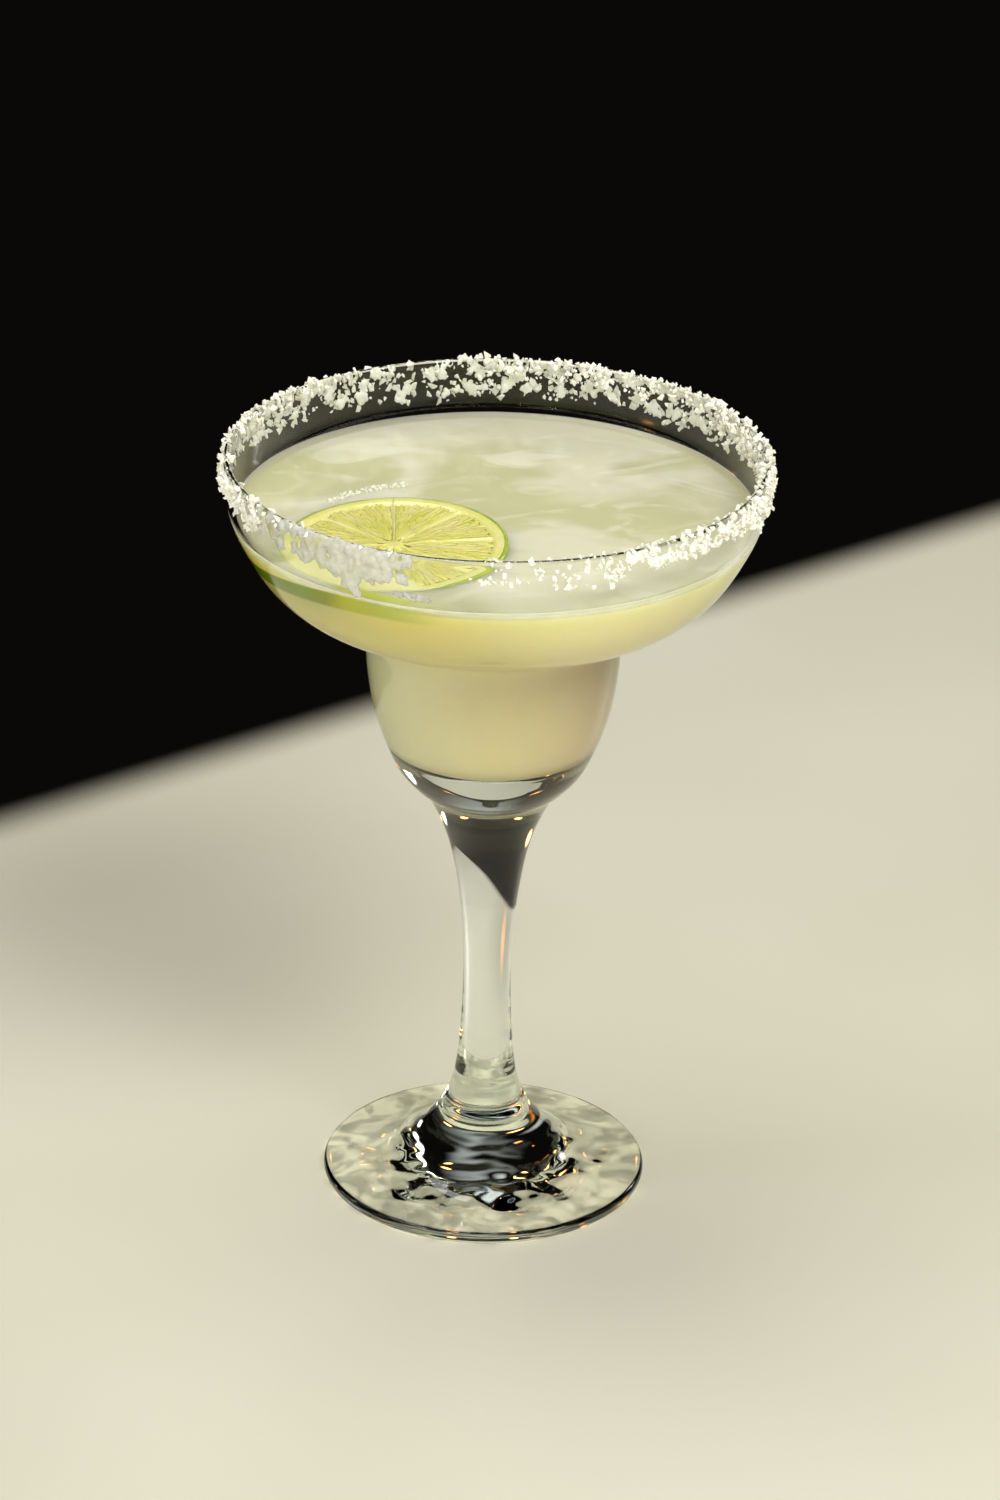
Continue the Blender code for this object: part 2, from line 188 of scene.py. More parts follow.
def makeMottle():  # soft patches, 0 to 1, with a size in metres and a stretch along X
    tree, given, out = shaderGroup(
        "mottle", {"Size": 0.01, "Stretch": 1.0, "Detail": 3.0, "Swirl": 0.0, "Low": 0.35, "High": 0.65},
        {"Amount": "NodeSocketFloat"},
    )
    spot = tree.nodes.new("ShaderNodeTexCoord").outputs["Object"]
    parts = addNode(tree, "ShaderNodeSeparateXYZ", {0: spot})
    across = mathNode(tree, "DIVIDE", parts.outputs[0], given.outputs["Stretch"])
    place = addNode(tree, "ShaderNodeCombineXYZ", {0: across, 1: parts.outputs[1], 2: parts.outputs[2]}).outputs[0]
    scale = mathNode(tree, "DIVIDE", 1.0, given.outputs["Size"])
    cloud = addNode(tree, "ShaderNodeTexNoise", {
        "Vector": place, "Scale": scale, "Detail": given.outputs["Detail"], "Distortion": given.outputs["Swirl"],
    })
    amount = ramp(tree, cloud.outputs[0], given.outputs["Low"], given.outputs["High"])
    tree.links.new(amount, out.inputs["Amount"])
    return tree


def makeHeightBand():  # 0 below Low, 1 above High, by height
    tree, given, out = shaderGroup("heightBand", {"Low": 0.0, "High": 0.1}, {"Mask": "NodeSocketFloat"})
    spot = tree.nodes.new("ShaderNodeTexCoord").outputs["Object"]
    height = addNode(tree, "ShaderNodeSeparateXYZ", {0: spot}).outputs[2]
    tree.links.new(ramp(tree, height, given.outputs["Low"], given.outputs["High"]), out.inputs["Mask"])
    return tree


def makeUnevenness():  # a bumped normal
    tree, given, out = shaderGroup(
        "unevenness", {"Size": 0.001, "Depth": 0.0001, "Detail": 2.0}, {"Normal": "NodeSocketVector"}
    )
    spot = tree.nodes.new("ShaderNodeTexCoord").outputs["Object"]
    scale = mathNode(tree, "DIVIDE", 1.0, given.outputs["Size"])
    cloud = addNode(tree, "ShaderNodeTexNoise", {"Vector": spot, "Scale": scale, "Detail": given.outputs["Detail"]})
    bump = addNode(tree, "ShaderNodeBump", {
        "Height": cloud.outputs[0], "Distance": given.outputs["Depth"], "Strength": 1.0,
    })
    tree.links.new(bump.outputs[0], out.inputs["Normal"])
    return tree


mottle = makeMottle()
heightBand = makeHeightBand()
unevenness = makeUnevenness()


def newMaterial(name, values):  # values hold the shader's sockets that are the same all over
    material = bpy.data.materials.new(name)
    material.use_nodes = True
    tree = material.node_tree
    shader = tree.nodes["Principled BSDF"]
    for socket, value in values.items():
        shader.inputs[socket].default_value = value
    return material, tree, shader, tree.nodes["Material Output"]


def roughen(tree, shader, size, depth, detail=2.0):
    normal = useGroup(tree, unevenness, {"Size": size, "Depth": depth, "Detail": detail})
    tree.links.new(normal, shader.inputs["Normal"])


def patchColours(tree, shader, size, tints, low=0.35, high=0.65, detail=2.0):  # two colours in soft patches
    patches = useGroup(tree, mottle, {"Size": size, "Detail": detail, "Low": low, "High": high})
    tree.links.new(mixColour(tree, patches, *tints), shader.inputs["Base Color"])


def letLampsThrough(tree, shader, output, shade):  # lamps light what stands inside the glass
    clear = addNode(tree, "ShaderNodeBsdfTransparent", {"Color": shade})
    path = tree.nodes.new("ShaderNodeLightPath")
    mixed = addNode(tree, "ShaderNodeMixShader", {
        0: path.outputs["Is Shadow Ray"], 1: shader.outputs[0], 2: clear.outputs[0],
    })
    tree.links.new(mixed.outputs[0], output.inputs["Surface"])


# Helpers for meshes


def smoothLine(stations, steps=8):
    points = [Vector(station) * mm for station in stations]
    ends = [2 * points[0] - points[1]] + points + [2 * points[-1] - points[-2]]
    line = []
    for before, start, end, after in zip(ends, ends[1:], ends[2:], ends[3:]):
        for step in range(steps):
            t = step / steps
            line.append(0.5 * (2 * start + (end - before) * t
                               + (2 * before - 5 * start + 4 * end - after) * t ** 2
                               + (3 * start - before - 3 * end + after) * t ** 3))
    line.append(points[-1])
    return line


def bend(middle, across, rise, start, end, steps):  # part of an ellipse, by bearing in degrees
    turns = [math.radians(start + (end - start) * step / steps) for step in range(steps + 1)]
    return [Vector((middle[0] + across * math.cos(t), middle[1] + rise * math.sin(t))) for t in turns]


def radiusAt(line, height):
    for low, high in zip(line, line[1:]):
        if low.y <= height <= high.y:
            return low.x + (high.x - low.x) * (height - low.y) / (high.y - low.y)
    return line[-1].x if height > line[-1].y else line[0].x


def finishMesh(name, bm, smooth=True, turnOut=True):
    if turnOut:
        bmesh.ops.recalc_face_normals(bm, faces=bm.faces)
    mesh = bpy.data.meshes.new(name)
    bm.to_mesh(mesh)
    bm.free()
    if smooth:
        mesh.shade_smooth()
    return mesh


def turnMesh(name, line, steps):  # a solid of revolution whose line starts and ends on the axis
    bm = bmesh.new()
    rings = []
    for point in line:
        if point.x < 1e-7:
            rings.append([bm.verts.new((0.0, 0.0, point.y))])
            continue
        turns = [math.tau * step / steps for step in range(steps)]
        rings.append([bm.verts.new((point.x * math.cos(t), point.x * math.sin(t), point.y)) for t in turns])
    for lower, upper in zip(rings, rings[1:]):
        for step in range(steps):
            after = (step + 1) % steps
            if len(lower) == 1:
                bm.faces.new((lower[0], upper[after], upper[step]))
            elif len(upper) == 1:
                bm.faces.new((lower[step], lower[after], upper[0]))
            else:
                bm.faces.new((lower[step], lower[after], upper[after], upper[step]))
    return finishMesh(name, bm)


def addObject(name, data):
    item = bpy.data.objects.new(name, data)
    bpy.context.scene.collection.objects.link(item)
    return item


def bakeMesh(name, item):  # what the object's modifiers make, as one plain mesh; the object goes
    bpy.context.view_layer.update()
    mesh = bpy.data.meshes.new_from_object(item.evaluated_get(bpy.context.evaluated_depsgraph_get()))
    bpy.data.objects.remove(item, do_unlink=True)
    mesh.name = name
    return mesh


def newPiece(name, mesh, material):
    piece = addObject(name, mesh)
    mesh.materials.clear()
    mesh.materials.append(material)
    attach(piece, "root")
    return piece


# The glass

glassShape = {
    "height": 174.5,
    "rim": 59.0,
    "wall": 1.6,
    "foot": 36.4,
    "foot edge": 2.6,
    "hollow": 0.5,  # how far the foot's underside domes up
    "standing ring": 33.0,
    "underside rings": 40,
    "ripple size": 8.5 * mm,  # the pressed underside is uneven
    "ripple fade": 4.0 * mm,
    "ripple depth": 0.38 * mm,
    "swirl size": 11.0 * mm,
    "foot shade": ((0.66, 0.67, 0.63, 1.0), (1.2, 1.19, 1.13, 1.0)),  # what lamps' light becomes through the foot
    "wall shade": (0.84, 0.86, 0.85, 1.0),  # and through the thin wall
    "shade change": {"Low": 24.0 * mm, "High": 80.0 * mm},
    "turn steps": 192,
    "surface": (0.985, 1.0, 0.99, 1.0),
    "index": 1.5,
    "tint": (0.80, 0.92, 0.87, 1.0),
    "tint strength": 9.0,  # for each metre of glass
}
glassTop = glassShape["height"] * mm


def outerLine():
    size = glassShape
    return smoothLine([
        (size["foot"] - 1.0, size["foot edge"]), (28.0, size["foot edge"] + 0.9), (20.6, 5.6),
        (15.6, 10.0), (11.0, 15.0), (9.1, 18.6), (8.3, 19.7),
        (7.9, 21.2), (6.9, 25.5), (6.1, 32.0), (5.4, 46.0), (5.7, 61.0), (7.4, 75.0), (9.8, 85.2), (13.8, 94.0),
        (17.5, 97.8), (21.0, 102.2), (24.3, 109.8), (26.5, 117.5), (27.7, 126.0), (28.1, 133.5), (29.3, 136.5),
        (33.5, 138.6), (40.0, 141.2), (46.0, 144.6), (51.0, 149.5), (55.0, 156.0), (57.8, 162.4), (58.7, 168.5),
        (size["rim"], size["height"] - size["wall"] / 2),
    ])


def innerLine():
    size = glassShape
    return smoothLine([
        (0.0, 101.0), (4.0, 101.6), (8.0, 103.0), (12.0, 104.55), (16.0, 106.0), (20.0, 107.4), (22.3, 109.2),
        (23.5, 112.6), (24.4, 118.5), (25.2, 127.0), (25.8, 136.2), (27.6, 139.0),
        (33.0, 140.9), (39.3, 143.4), (44.9, 146.6), (49.4, 151.0), (53.3, 157.0), (56.2, 162.6), (57.1, 168.5),
        (size["rim"] - size["wall"], size["height"] - size["wall"] / 2),
    ])


def glassMaterial():
    size = glassShape
    material, tree, shader, output = newMaterial("clearGlass", {
        "Base Color": size["surface"], "Roughness": 0.0, "IOR": size["index"], "Transmission Weight": 1.0,
    })
    swirls = useGroup(tree, mottle, {"Size": size["swirl size"], "Detail": 2.0, "Swirl": 2.0, "Low": 0.4, "High": 0.6})
    foot = mixColour(tree, swirls, *size["foot shade"])
    aboveFoot = useGroup(tree, heightBand, size["shade change"])
    letLampsThrough(tree, shader, output, mixColour(tree, aboveFoot, foot, size["wall shade"]))
    soak = addNode(tree, "ShaderNodeVolumeAbsorption", {"Color": size["tint"], "Density": size["tint strength"]})
    tree.links.new(soak.outputs[0], output.inputs["Volume"])
    return material


def rippleFoot(mesh):  # moves the underside only, by broad waves with finer ones on them
    size = glassShape
    inner = size["standing ring"] * mm
    lowest = 0.02 * mm
    for vert in mesh.vertices:
        reach = vert.co.xy.length
        if vert.co.z < 1.3 * size["foot edge"] / 2 * mm and reach < inner and vert.normal.z < -0.5:
            spot = Vector((vert.co.x, vert.co.y, 0.0)) / size["ripple size"]
            wave = noise.noise(spot) + 0.5 * noise.noise(spot * 2.1 + up * 3.0)
            share = min(1.0, (inner - reach) / size["ripple fade"])
            vert.co.z = max(lowest, vert.co.z + wave * size["ripple depth"] * share)


def makeGlass():
    size = glassShape
    lip = (size["rim"] - size["wall"] / 2) * mm, (size["height"] - size["wall"] / 2) * mm
    edge = (size["foot"] - 1.0) * mm, size["foot edge"] / 2 * mm
    rings = size["underside rings"]
    under = [Vector((0.0, size["hollow"] * mm))]
    for ring in range(1, rings):
        rise = size["hollow"] * (1.0 - (ring / rings) ** 3)
        under.append(Vector((size["standing ring"] * ring / rings * mm, rise * mm)))
    under.append(Vector((size["standing ring"] * mm, 0.0)))
    line = under + bend(edge, 1.0 * mm, edge[1], -90.0, 60.0, 8) + outerLine()
    line += bend(lip, size["wall"] / 2 * mm, size["wall"] / 2 * mm, 0.0, 180.0, 12)[1:-1]
    line += list(reversed(innerLine()))
    mesh = turnMesh("glassShell", line, size["turn steps"])
    rippleFoot(mesh)
    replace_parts(newPiece("glassShell", mesh, glassMaterial()), "glass")


makeGlass()
print("glass turned")


# The lime wheel, floating against the wall at the front left with its outer edge dipped

lime = {
    "radius": 24.5 * mm,
    "under radius": 22.9 * mm,
    "thickness": 5.0 * mm,
    "offset": 29.2 * mm,
    "bearing": math.radians(222.2),
    "dip": math.radians(2.5),
    "above level": 0.4 * mm,
    "membranes": [92.0, 137.0, 183.0, 229.0, 276.0, 321.0, 8.0, 51.0],  # bearings, the first at the slit
    "rind": 0.9 * mm,
    "pith": 2.1 * mm,
    "hub": 1.7 * mm,
    "membrane": 0.2 * mm,  # half its thickness
    "floor": -0.65 * mm,  # of the segments, below the pith's top
    "pith top": -0.02 * mm,
    "slope": 0.9 * mm,  # from the floor up to pith and hub
    "slit bearing": math.radians(92.0),
    "slit": 0.08 * mm,
    "turn steps": 300,
    "ring step": 0.3 * mm,
    "streaks round": 34.0,
    "streak length": 26.0 * mm,
    "rind tints": (tint(172, 184, 62), tint(140, 162, 48), tint(200, 206, 100)),
    "pith tints": (tint(228, 220, 142), tint(216, 214, 120), tint(236, 228, 166)),
    # the third, pale pulp tint is partly a painted highlight
    "pulp tints": (tint(230, 220, 120), tint(214, 213, 100), tint(236, 224, 164)),
}
pulp = {
    "across": 24,
    "along": 18,
    "gap": 0.12 * mm,
    "floor": -0.72 * mm,
    "shoulder": -0.5 * mm,
    "crown": 0.36 * mm,
}
limeOut = Vector((math.cos(lime["bearing"]), math.sin(lime["bearing"]), 0.0))
limeMiddle = limeOut * lime["offset"] + up * (drinkLevel + lime["above level"])


def limePlace():
    return Matrix.Translation(limeMiddle) @ Matrix.Rotation(lime["dip"], 4, up.cross(limeOut))


def turnBetween(first, second):
    return (second - first + math.pi) % math.tau - math.pi


def slitHalfAngle(radius):
    opening = lime["slit"] / 2 * min(1.0, radius / lime["radius"])
    return math.asin(min(0.5, opening / max(radius, lime["hub"])))


def makeWaxy(name, colours, roughness, bumpSize, bumpDepth, softness):  # rind and pith
    material, tree, shader, output = newMaterial(name, {
        "Roughness": roughness, "Subsurface Weight": softness, "Subsurface Radius": (1.0, 1.0, 0.4),
        "Subsurface Scale": 1.0 * mm, "Coat Weight": 0.6, "Coat Roughness": 0.08,
    })
    patches = useGroup(tree, mottle, {"Size": 6.0 * mm, "Detail": 4.0, "Low": 0.35, "High": 0.65})
    fine = useGroup(tree, mottle, {"Size": 0.7 * mm, "Detail": 2.0, "Low": 0.4, "High": 0.75})
    base = mixColour(tree, patches, colours[0], colours[1])
    colour = mixColour(tree, mathNode(tree, "MULTIPLY", fine, 0.45), base, colours[2])
    tree.links.new(colour, shader.inputs["Base Color"])
    roughen(tree, shader, bumpSize, bumpDepth)
    return material


def makePulpMaterial(name, softness, depth):  # streaked along the spokes; the pale streaks are the pulp's grain with painted highlight
    material, tree, shader, output = newMaterial(name, {
        "Roughness": 0.16, "Subsurface Weight": softness, "Subsurface Radius": (1.0, 1.0, 0.3),
        "Subsurface Scale": depth, "Coat Weight": 0.7, "Coat Roughness": 0.05,
    })
    spot = tree.nodes.new("ShaderNodeTexCoord").outputs["Object"]
    fromHub = addNode(tree, "ShaderNodeVectorMath", {0: spot, 1: limeMiddle}, operation="SUBTRACT").outputs[0]
    parts = addNode(tree, "ShaderNodeSeparateXYZ", {0: fromHub})
    turn = mathNode(tree, "ARCTAN2", parts.outputs[1], parts.outputs[0])
    reach = addNode(tree, "ShaderNodeVectorMath", {0: fromHub}, operation="LENGTH").outputs["Value"]
    spoke = addNode(tree, "ShaderNodeCombineXYZ", {
        0: mathNode(tree, "MULTIPLY", turn, lime["streaks round"] / math.tau),
        1: mathNode(tree, "DIVIDE", reach, lime["streak length"]),
    }).outputs[0]
    cloud = addNode(tree, "ShaderNodeTexNoise", {"Vector": spoke, "Scale": 1.4, "Detail": 4.0}).outputs[0]
    streaks = mathNode(tree, "MULTIPLY", ramp(tree, cloud, 0.4, 0.7), 0.75)
    patches = useGroup(tree, mottle, {"Size": 7.0 * mm, "Detail": 3.0, "Low": 0.3, "High": 0.7})
    ripe, green, paleAndHighlight = lime["pulp tints"]
    base = mixColour(tree, patches, ripe, green)
    tree.links.new(mixColour(tree, streaks, base, paleAndHighlight), shader.inputs["Base Color"])
    roughen(tree, shader, 0.9 * mm, 0.07 * mm)
    return material


def limeHeight(radius, bearing, membranes):  # the pith, hub and membranes stand above the segments' floor
    floor, slope = lime["floor"], lime["slope"]
    pulpEdge = lime["radius"] - lime["rind"] - lime["pith"]
    nearest = min(abs(radius * math.sin(turnBetween(bearing, membrane)))
                  if abs(turnBetween(bearing, membrane)) < math.pi / 2 else radius for membrane in membranes)
    wall = max(0.0, 1.0 - (nearest / (lime["membrane"] * 1.6)) ** 2)
    ring = min(1.0, max(0.0, (radius - pulpEdge + 0.5 * mm) / slope))
    middle = min(1.0, max(0.0, (lime["hub"] + 0.8 * mm - radius) / slope))
    raised = max(wall * 0.94, ring, middle * 0.9)
    return floor + (lime["pith top"] - floor) * raised ** 0.7


def limeBody(membranes):  # pith ring, hub and membranes over a plain underside, cut by the slit
    bm = bmesh.new()
    turns = lime["turn steps"]
    lean = lime["under radius"] / lime["radius"]
    last = lime["radius"] - lime["rind"] * 0.7
    rings = int((last - lime["hub"]) / lime["ring step"]) + 1
    radii = [lime["hub"] * 0.55] + [lime["hub"] + lime["ring step"] * step for step in range(rings)]
    top, low = [], []
    for radius in radii:
        half = slitHalfAngle(radius) if radius > lime["hub"] else 0.002
        row, under = [], []
        for step in range(turns + 1):
            bearing = lime["slit bearing"] + half + (math.tau - 2 * half) * (step / turns)
            height = limeHeight(radius, bearing, membranes)
            row.append(bm.verts.new((radius * math.cos(bearing), radius * math.sin(bearing), height)))
            under.append(bm.verts.new((
                radius * lean * math.cos(bearing), radius * lean * math.sin(bearing), -lime["thickness"],
            )))
        top.append(row)
        low.append(under)
    for rows in (top, low):
        for inner, outer in zip(rows, rows[1:]):
            for step in range(turns):
                bm.faces.new((inner[step], outer[step], outer[step + 1], inner[step + 1]))
    for step in range(turns):
        bm.faces.new((top[-1][step], low[-1][step], low[-1][step + 1], top[-1][step + 1]))
    for side in (0, turns):
        for ring in range(len(radii) - 1):
            bm.faces.new((top[ring][side], low[ring][side], low[ring + 1][side], top[ring + 1][side]))
    bm.faces.new((top[0][0], low[0][0], low[0][-1], top[0][-1]))
    bm.faces.new(top[0])
    bm.faces.new(low[0])
    return finishMesh("limePith", bm)


def limeRind():  # the thin green skin round the edge, cut by the slit
    outer, under, skin = lime["radius"], lime["under radius"], lime["rind"]
    section = [
        (outer - skin, -0.1 * mm), (outer - 0.6 * mm, 0.0), (outer - 0.25 * mm, -0.08 * mm),
        (outer - 0.05 * mm, -0.35 * mm), (outer, -0.8 * mm),
        (outer * 0.35 + under * 0.65, -3.2 * mm), (under + 0.05 * mm, -4.6 * mm), (under - 0.35 * mm, -5.0 * mm),
        (under - skin, -5.0 * mm), (outer - skin * 1.2, -1.5 * mm),
    ]
    bm = bmesh.new()
    turns = lime["turn steps"]
    loops = []
    half = slitHalfAngle(outer)
    for step in range(turns + 1):
        bearing = lime["slit bearing"] + half + (math.tau - 2 * half) * step / turns
        loops.append([bm.verts.new((r * math.cos(bearing), r * math.sin(bearing), z)) for r, z in section])
    for here, after in zip(loops, loops[1:]):
        for index in range(len(section)):
            beyond = (index + 1) % len(section)
            bm.faces.new((here[index], here[beyond], after[beyond], after[index]))
    bm.faces.new(loops[0])
    bm.faces.new(list(reversed(loops[-1])))
    return finishMesh("limeRind", bm)


def slitGap(bearing, radius):  # more room beside the membrane that the slit runs through
    return slitHalfAngle(radius) if abs(turnBetween(bearing, lime["slit bearing"])) < 0.01 else 0.0


def limePulp(membranes):  # one crowned wedge for each segment, set between the membranes
    bm = bmesh.new()
    pulpEdge = lime["radius"] - lime["rind"] - lime["pith"]
    start = lime["hub"] + 1.2 * mm
    across, along = pulp["across"], pulp["along"]
    ordered = sorted(membranes)
    for first, second in zip(ordered, ordered[1:] + [ordered[0] + math.tau]):
        rows = []
        for ring in range(along + 1):
            reach = ring / along
            radius = start + (pulpEdge - 0.1 * mm - start) * reach
            gap = (lime["membrane"] + pulp["gap"]) / radius
            firstGap, lastGap = gap + slitGap(first, radius), gap + slitGap(second, radius)
            row = []
            for step in range(across + 1):
                share = step / across
                bearing = first + firstGap + (second - lastGap - first - firstGap) * share
                crown = (1.0 - abs(2 * share - 1) ** 6) * (1.0 - abs(2 * reach - 1) ** 8)
                height = pulp["shoulder"] + pulp["crown"] * crown
                if ring in (0, along) or step in (0, across):
                    height = pulp["floor"]
                row.append(bm.verts.new((radius * math.cos(bearing), radius * math.sin(bearing), height)))
            rows.append(row)
        for inner, outer in zip(rows, rows[1:]):
            for step in range(across):
                bm.faces.new((inner[step], outer[step], outer[step + 1], inner[step + 1]))
        rim = [rows[0][step] for step in range(across)] + [rows[ring][across] for ring in range(along)]
        rim += [rows[along][step] for step in range(across, 0, -1)] + [rows[ring][0] for ring in range(along, 0, -1)]
        bm.faces.new(rim)
    return finishMesh("limePulp", bm, turnOut=False)


def dropShape(sides=8, rings=7):  # one juice sac, a unit long and wide, pointed at the hub end
    line = []
    for ring in range(rings + 1):
        share = ring / rings
        line.append((0.5 * math.sin(math.pi * share) ** 0.8 * (0.55 + 0.45 * share), share - 0.5))
    bm = bmesh.new()
    loops = []
    for radius, place in line:
        if radius < 1e-4:
            loops.append([bm.verts.new((place, 0.0, 0.0))])
            continue
        turns = [math.tau * step / sides for step in range(sides)]
        loops.append([bm.verts.new((place, radius * math.cos(t), radius * math.sin(t))) for t in turns])
    for lower, upper in zip(loops, loops[1:]):
        for step in range(sides):
            after = (step + 1) % sides
            if len(lower) == 1:
                bm.faces.new((lower[0], upper[step], upper[after]))
            elif len(upper) == 1:
                bm.faces.new((lower[step], upper[0], lower[after]))
            else:
                bm.faces.new((lower[step], upper[step], upper[after], lower[after]))
    return finishMesh("juiceSac", bm)


# Geometry Nodes: a tree scatters things over a surface, sized, turned and joined as one mesh


def scatterTree(name, inputs):
    tree = bpy.data.node_groups.new(name, "GeometryNodeTree")
    tree.is_modifier = True
    tree.interface.new_socket("Geometry", in_out="INPUT", socket_type="NodeSocketGeometry")
    for label, kind in inputs.items():
        tree.interface.new_socket(label, in_out="INPUT", socket_type=kind)
    tree.interface.new_socket("Geometry", in_out="OUTPUT", socket_type="NodeSocketGeometry")
    return tree, tree.nodes.new("NodeGroupInput"), tree.nodes.new("NodeGroupOutput")


def randomFloat(tree, low, high, seed, shift):
    shifted = mathNode(tree, "ADD", seed, float(shift))
    return addNode(tree, "FunctionNodeRandomValue", {2: low, 3: high, 8: shifted}, data_type="FLOAT").outputs[1]


def closeTree(tree, instances, finish, out):
    real = addNode(tree, "GeometryNodeRealizeInstances", {0: instances}).outputs[0]
    done = addNode(tree, "GeometryNodeSetMaterial", {"Geometry": real, "Material": finish}).outputs[0]
    tree.links.new(done, out.inputs[0])


def runTree(name, mesh, tree, values):  # the tree's result over the mesh, as one plain mesh
    carrier = addObject(name, mesh)
    modifier = carrier.modifiers.new(name, "NODES")
    modifier.node_group = tree
    for item in tree.interface.items_tree:
        if item.in_out == "INPUT" and item.name in values:
            modifier[item.identifier] = values[item.name]
    return bakeMesh(name, carrier)


def shapeCollection(name, meshes):
    collection = bpy.data.collections.new(name)
    for index, mesh in enumerate(meshes):
        collection.objects.link(bpy.data.objects.new(f"{name}{index}", mesh))
    return collection


def dropCollection(collection):
    for item in list(collection.objects):
        bpy.data.objects.remove(item, do_unlink=True)
    bpy.data.collections.remove(collection)


sacs = {
    "Per Square Metre": 0.5e6,
    "Length": 5.0 * mm,
    "Width": 1.3 * mm,
    "Height": 0.16 * mm,
    "Lowest": -0.36 * mm,  # only the wedges' crowns carry sacs
    "Seed": 3,
}


def sacTree():  # juice sacs laid along the wheel's spokes
    tree, given, out = scatterTree("juiceSacs", {
        "Sacs": "NodeSocketCollection", "Per Square Metre": "NodeSocketFloat", "Length": "NodeSocketFloat",
        "Width": "NodeSocketFloat", "Height": "NodeSocketFloat", "Lowest": "NodeSocketFloat",
        "Seed": "NodeSocketInt", "Finish": "NodeSocketMaterial",
    })
    normal = tree.nodes.new("GeometryNodeInputNormal").outputs[0]
    upward = addNode(tree, "ShaderNodeSeparateXYZ", {0: normal}).outputs[2]
    place = tree.nodes.new("GeometryNodeInputPosition").outputs[0]
    height = addNode(tree, "ShaderNodeSeparateXYZ", {0: place}).outputs[2]
    facing = mathNode(tree, "GREATER_THAN", upward, 0.8)
    crowned = mathNode(tree, "GREATER_THAN", height, given.outputs["Lowest"])
    points = addNode(tree, "GeometryNodeDistributePointsOnFaces", {
        "Mesh": given.outputs["Geometry"], "Selection": mathNode(tree, "MULTIPLY", facing, crowned),
        "Density": given.outputs["Per Square Metre"], "Seed": given.outputs["Seed"],
    }, distribute_method="RANDOM")
    spoke = addNode(tree, "FunctionNodeAlignRotationToVector", {"Vector": place}, axis="X", pivot_axis="Z")
    wobble = addNode(tree, "FunctionNodeRandomValue", {
        0: (-0.1, -0.05, -0.16), 1: (0.1, 0.05, 0.16), 8: given.outputs["Seed"],
    }, data_type="FLOAT_VECTOR").outputs[0]
    turn = addNode(tree, "FunctionNodeEulerToRotation", {0: wobble}).outputs[0]
    rotation = addNode(tree, "FunctionNodeRotateRotation", {0: spoke.outputs[0], 1: turn}, rotation_space="LOCAL")
    stretch = randomFloat(tree, 0.6, 1.25, given.outputs["Seed"], 1)
    width = randomFloat(tree, 0.75, 1.2, given.outputs["Seed"], 2)
    scale = addNode(tree, "ShaderNodeCombineXYZ", {
        0: mathNode(tree, "MULTIPLY", stretch, given.outputs["Length"]),
        1: mathNode(tree, "MULTIPLY", width, given.outputs["Width"]),
        2: mathNode(tree, "MULTIPLY", width, given.outputs["Height"]),
    }).outputs[0]
    shapes = addNode(tree, "GeometryNodeCollectionInfo", {0: given.outputs["Sacs"], 1: True, 2: True})
    laid = addNode(tree, "GeometryNodeInstanceOnPoints", {
        "Points": points.outputs["Points"], "Instance": shapes.outputs[0], "Pick Instance": True,
        "Rotation": rotation.outputs[0], "Scale": scale,
    })
    closeTree(tree, laid.outputs[0], given.outputs["Finish"], out)
    return tree


film = {
    "inset": 0.2 * mm,
    "sink": 0.1 * mm,
    "rise": 0.05 * mm,
    "turn steps": 64,
    "tints": (tint(250, 246, 206), tint(238, 236, 180)),
}


def limeFilm():  # the thin wedge of drink that lies over the dipped side of the wheel
    place = limePlace()
    back = place.inverted()
    dip = math.tan(lime["dip"])
    start = lime["above level"] / dip
    radius = lime["radius"] - film["inset"]
    widest = math.acos(start / radius)
    turns = film["turn steps"]
    bm = bmesh.new()
    top, low = [], []
    for step in range(turns + 1):
        bearing = lime["bearing"] - widest + 2 * widest * step / turns
        ground = place @ Vector((radius * math.cos(bearing), radius * math.sin(bearing), 0.0))
        low.append(bm.verts.new(ground - up * film["sink"]))
        top.append(bm.verts.new(Vector((ground.x, ground.y, max(drinkLevel, ground.z) + film["rise"]))))
    bm.faces.new(top)
    bm.faces.new(low)
    for step in range(turns):
        bm.faces.new((top[step], low[step], low[step + 1], top[step + 1]))
    bm.faces.new((top[0], low[0], low[-1], top[-1]))
    return finishMesh("limeFilm", bm, smooth=False)


def filmMaterial():
    material, tree, shader, output = newMaterial("thinDrink", {
        "Roughness": 0.2, "IOR": drinkIndex, "Transmission Weight": 0.55, "Coat Weight": 1.0, "Coat Roughness": 0.02,
    })
    patchColours(tree, shader, 8.0 * mm, film["tints"], detail=3.0)
    letLampsThrough(tree, shader, output, glassShape["wall shade"])
    return material


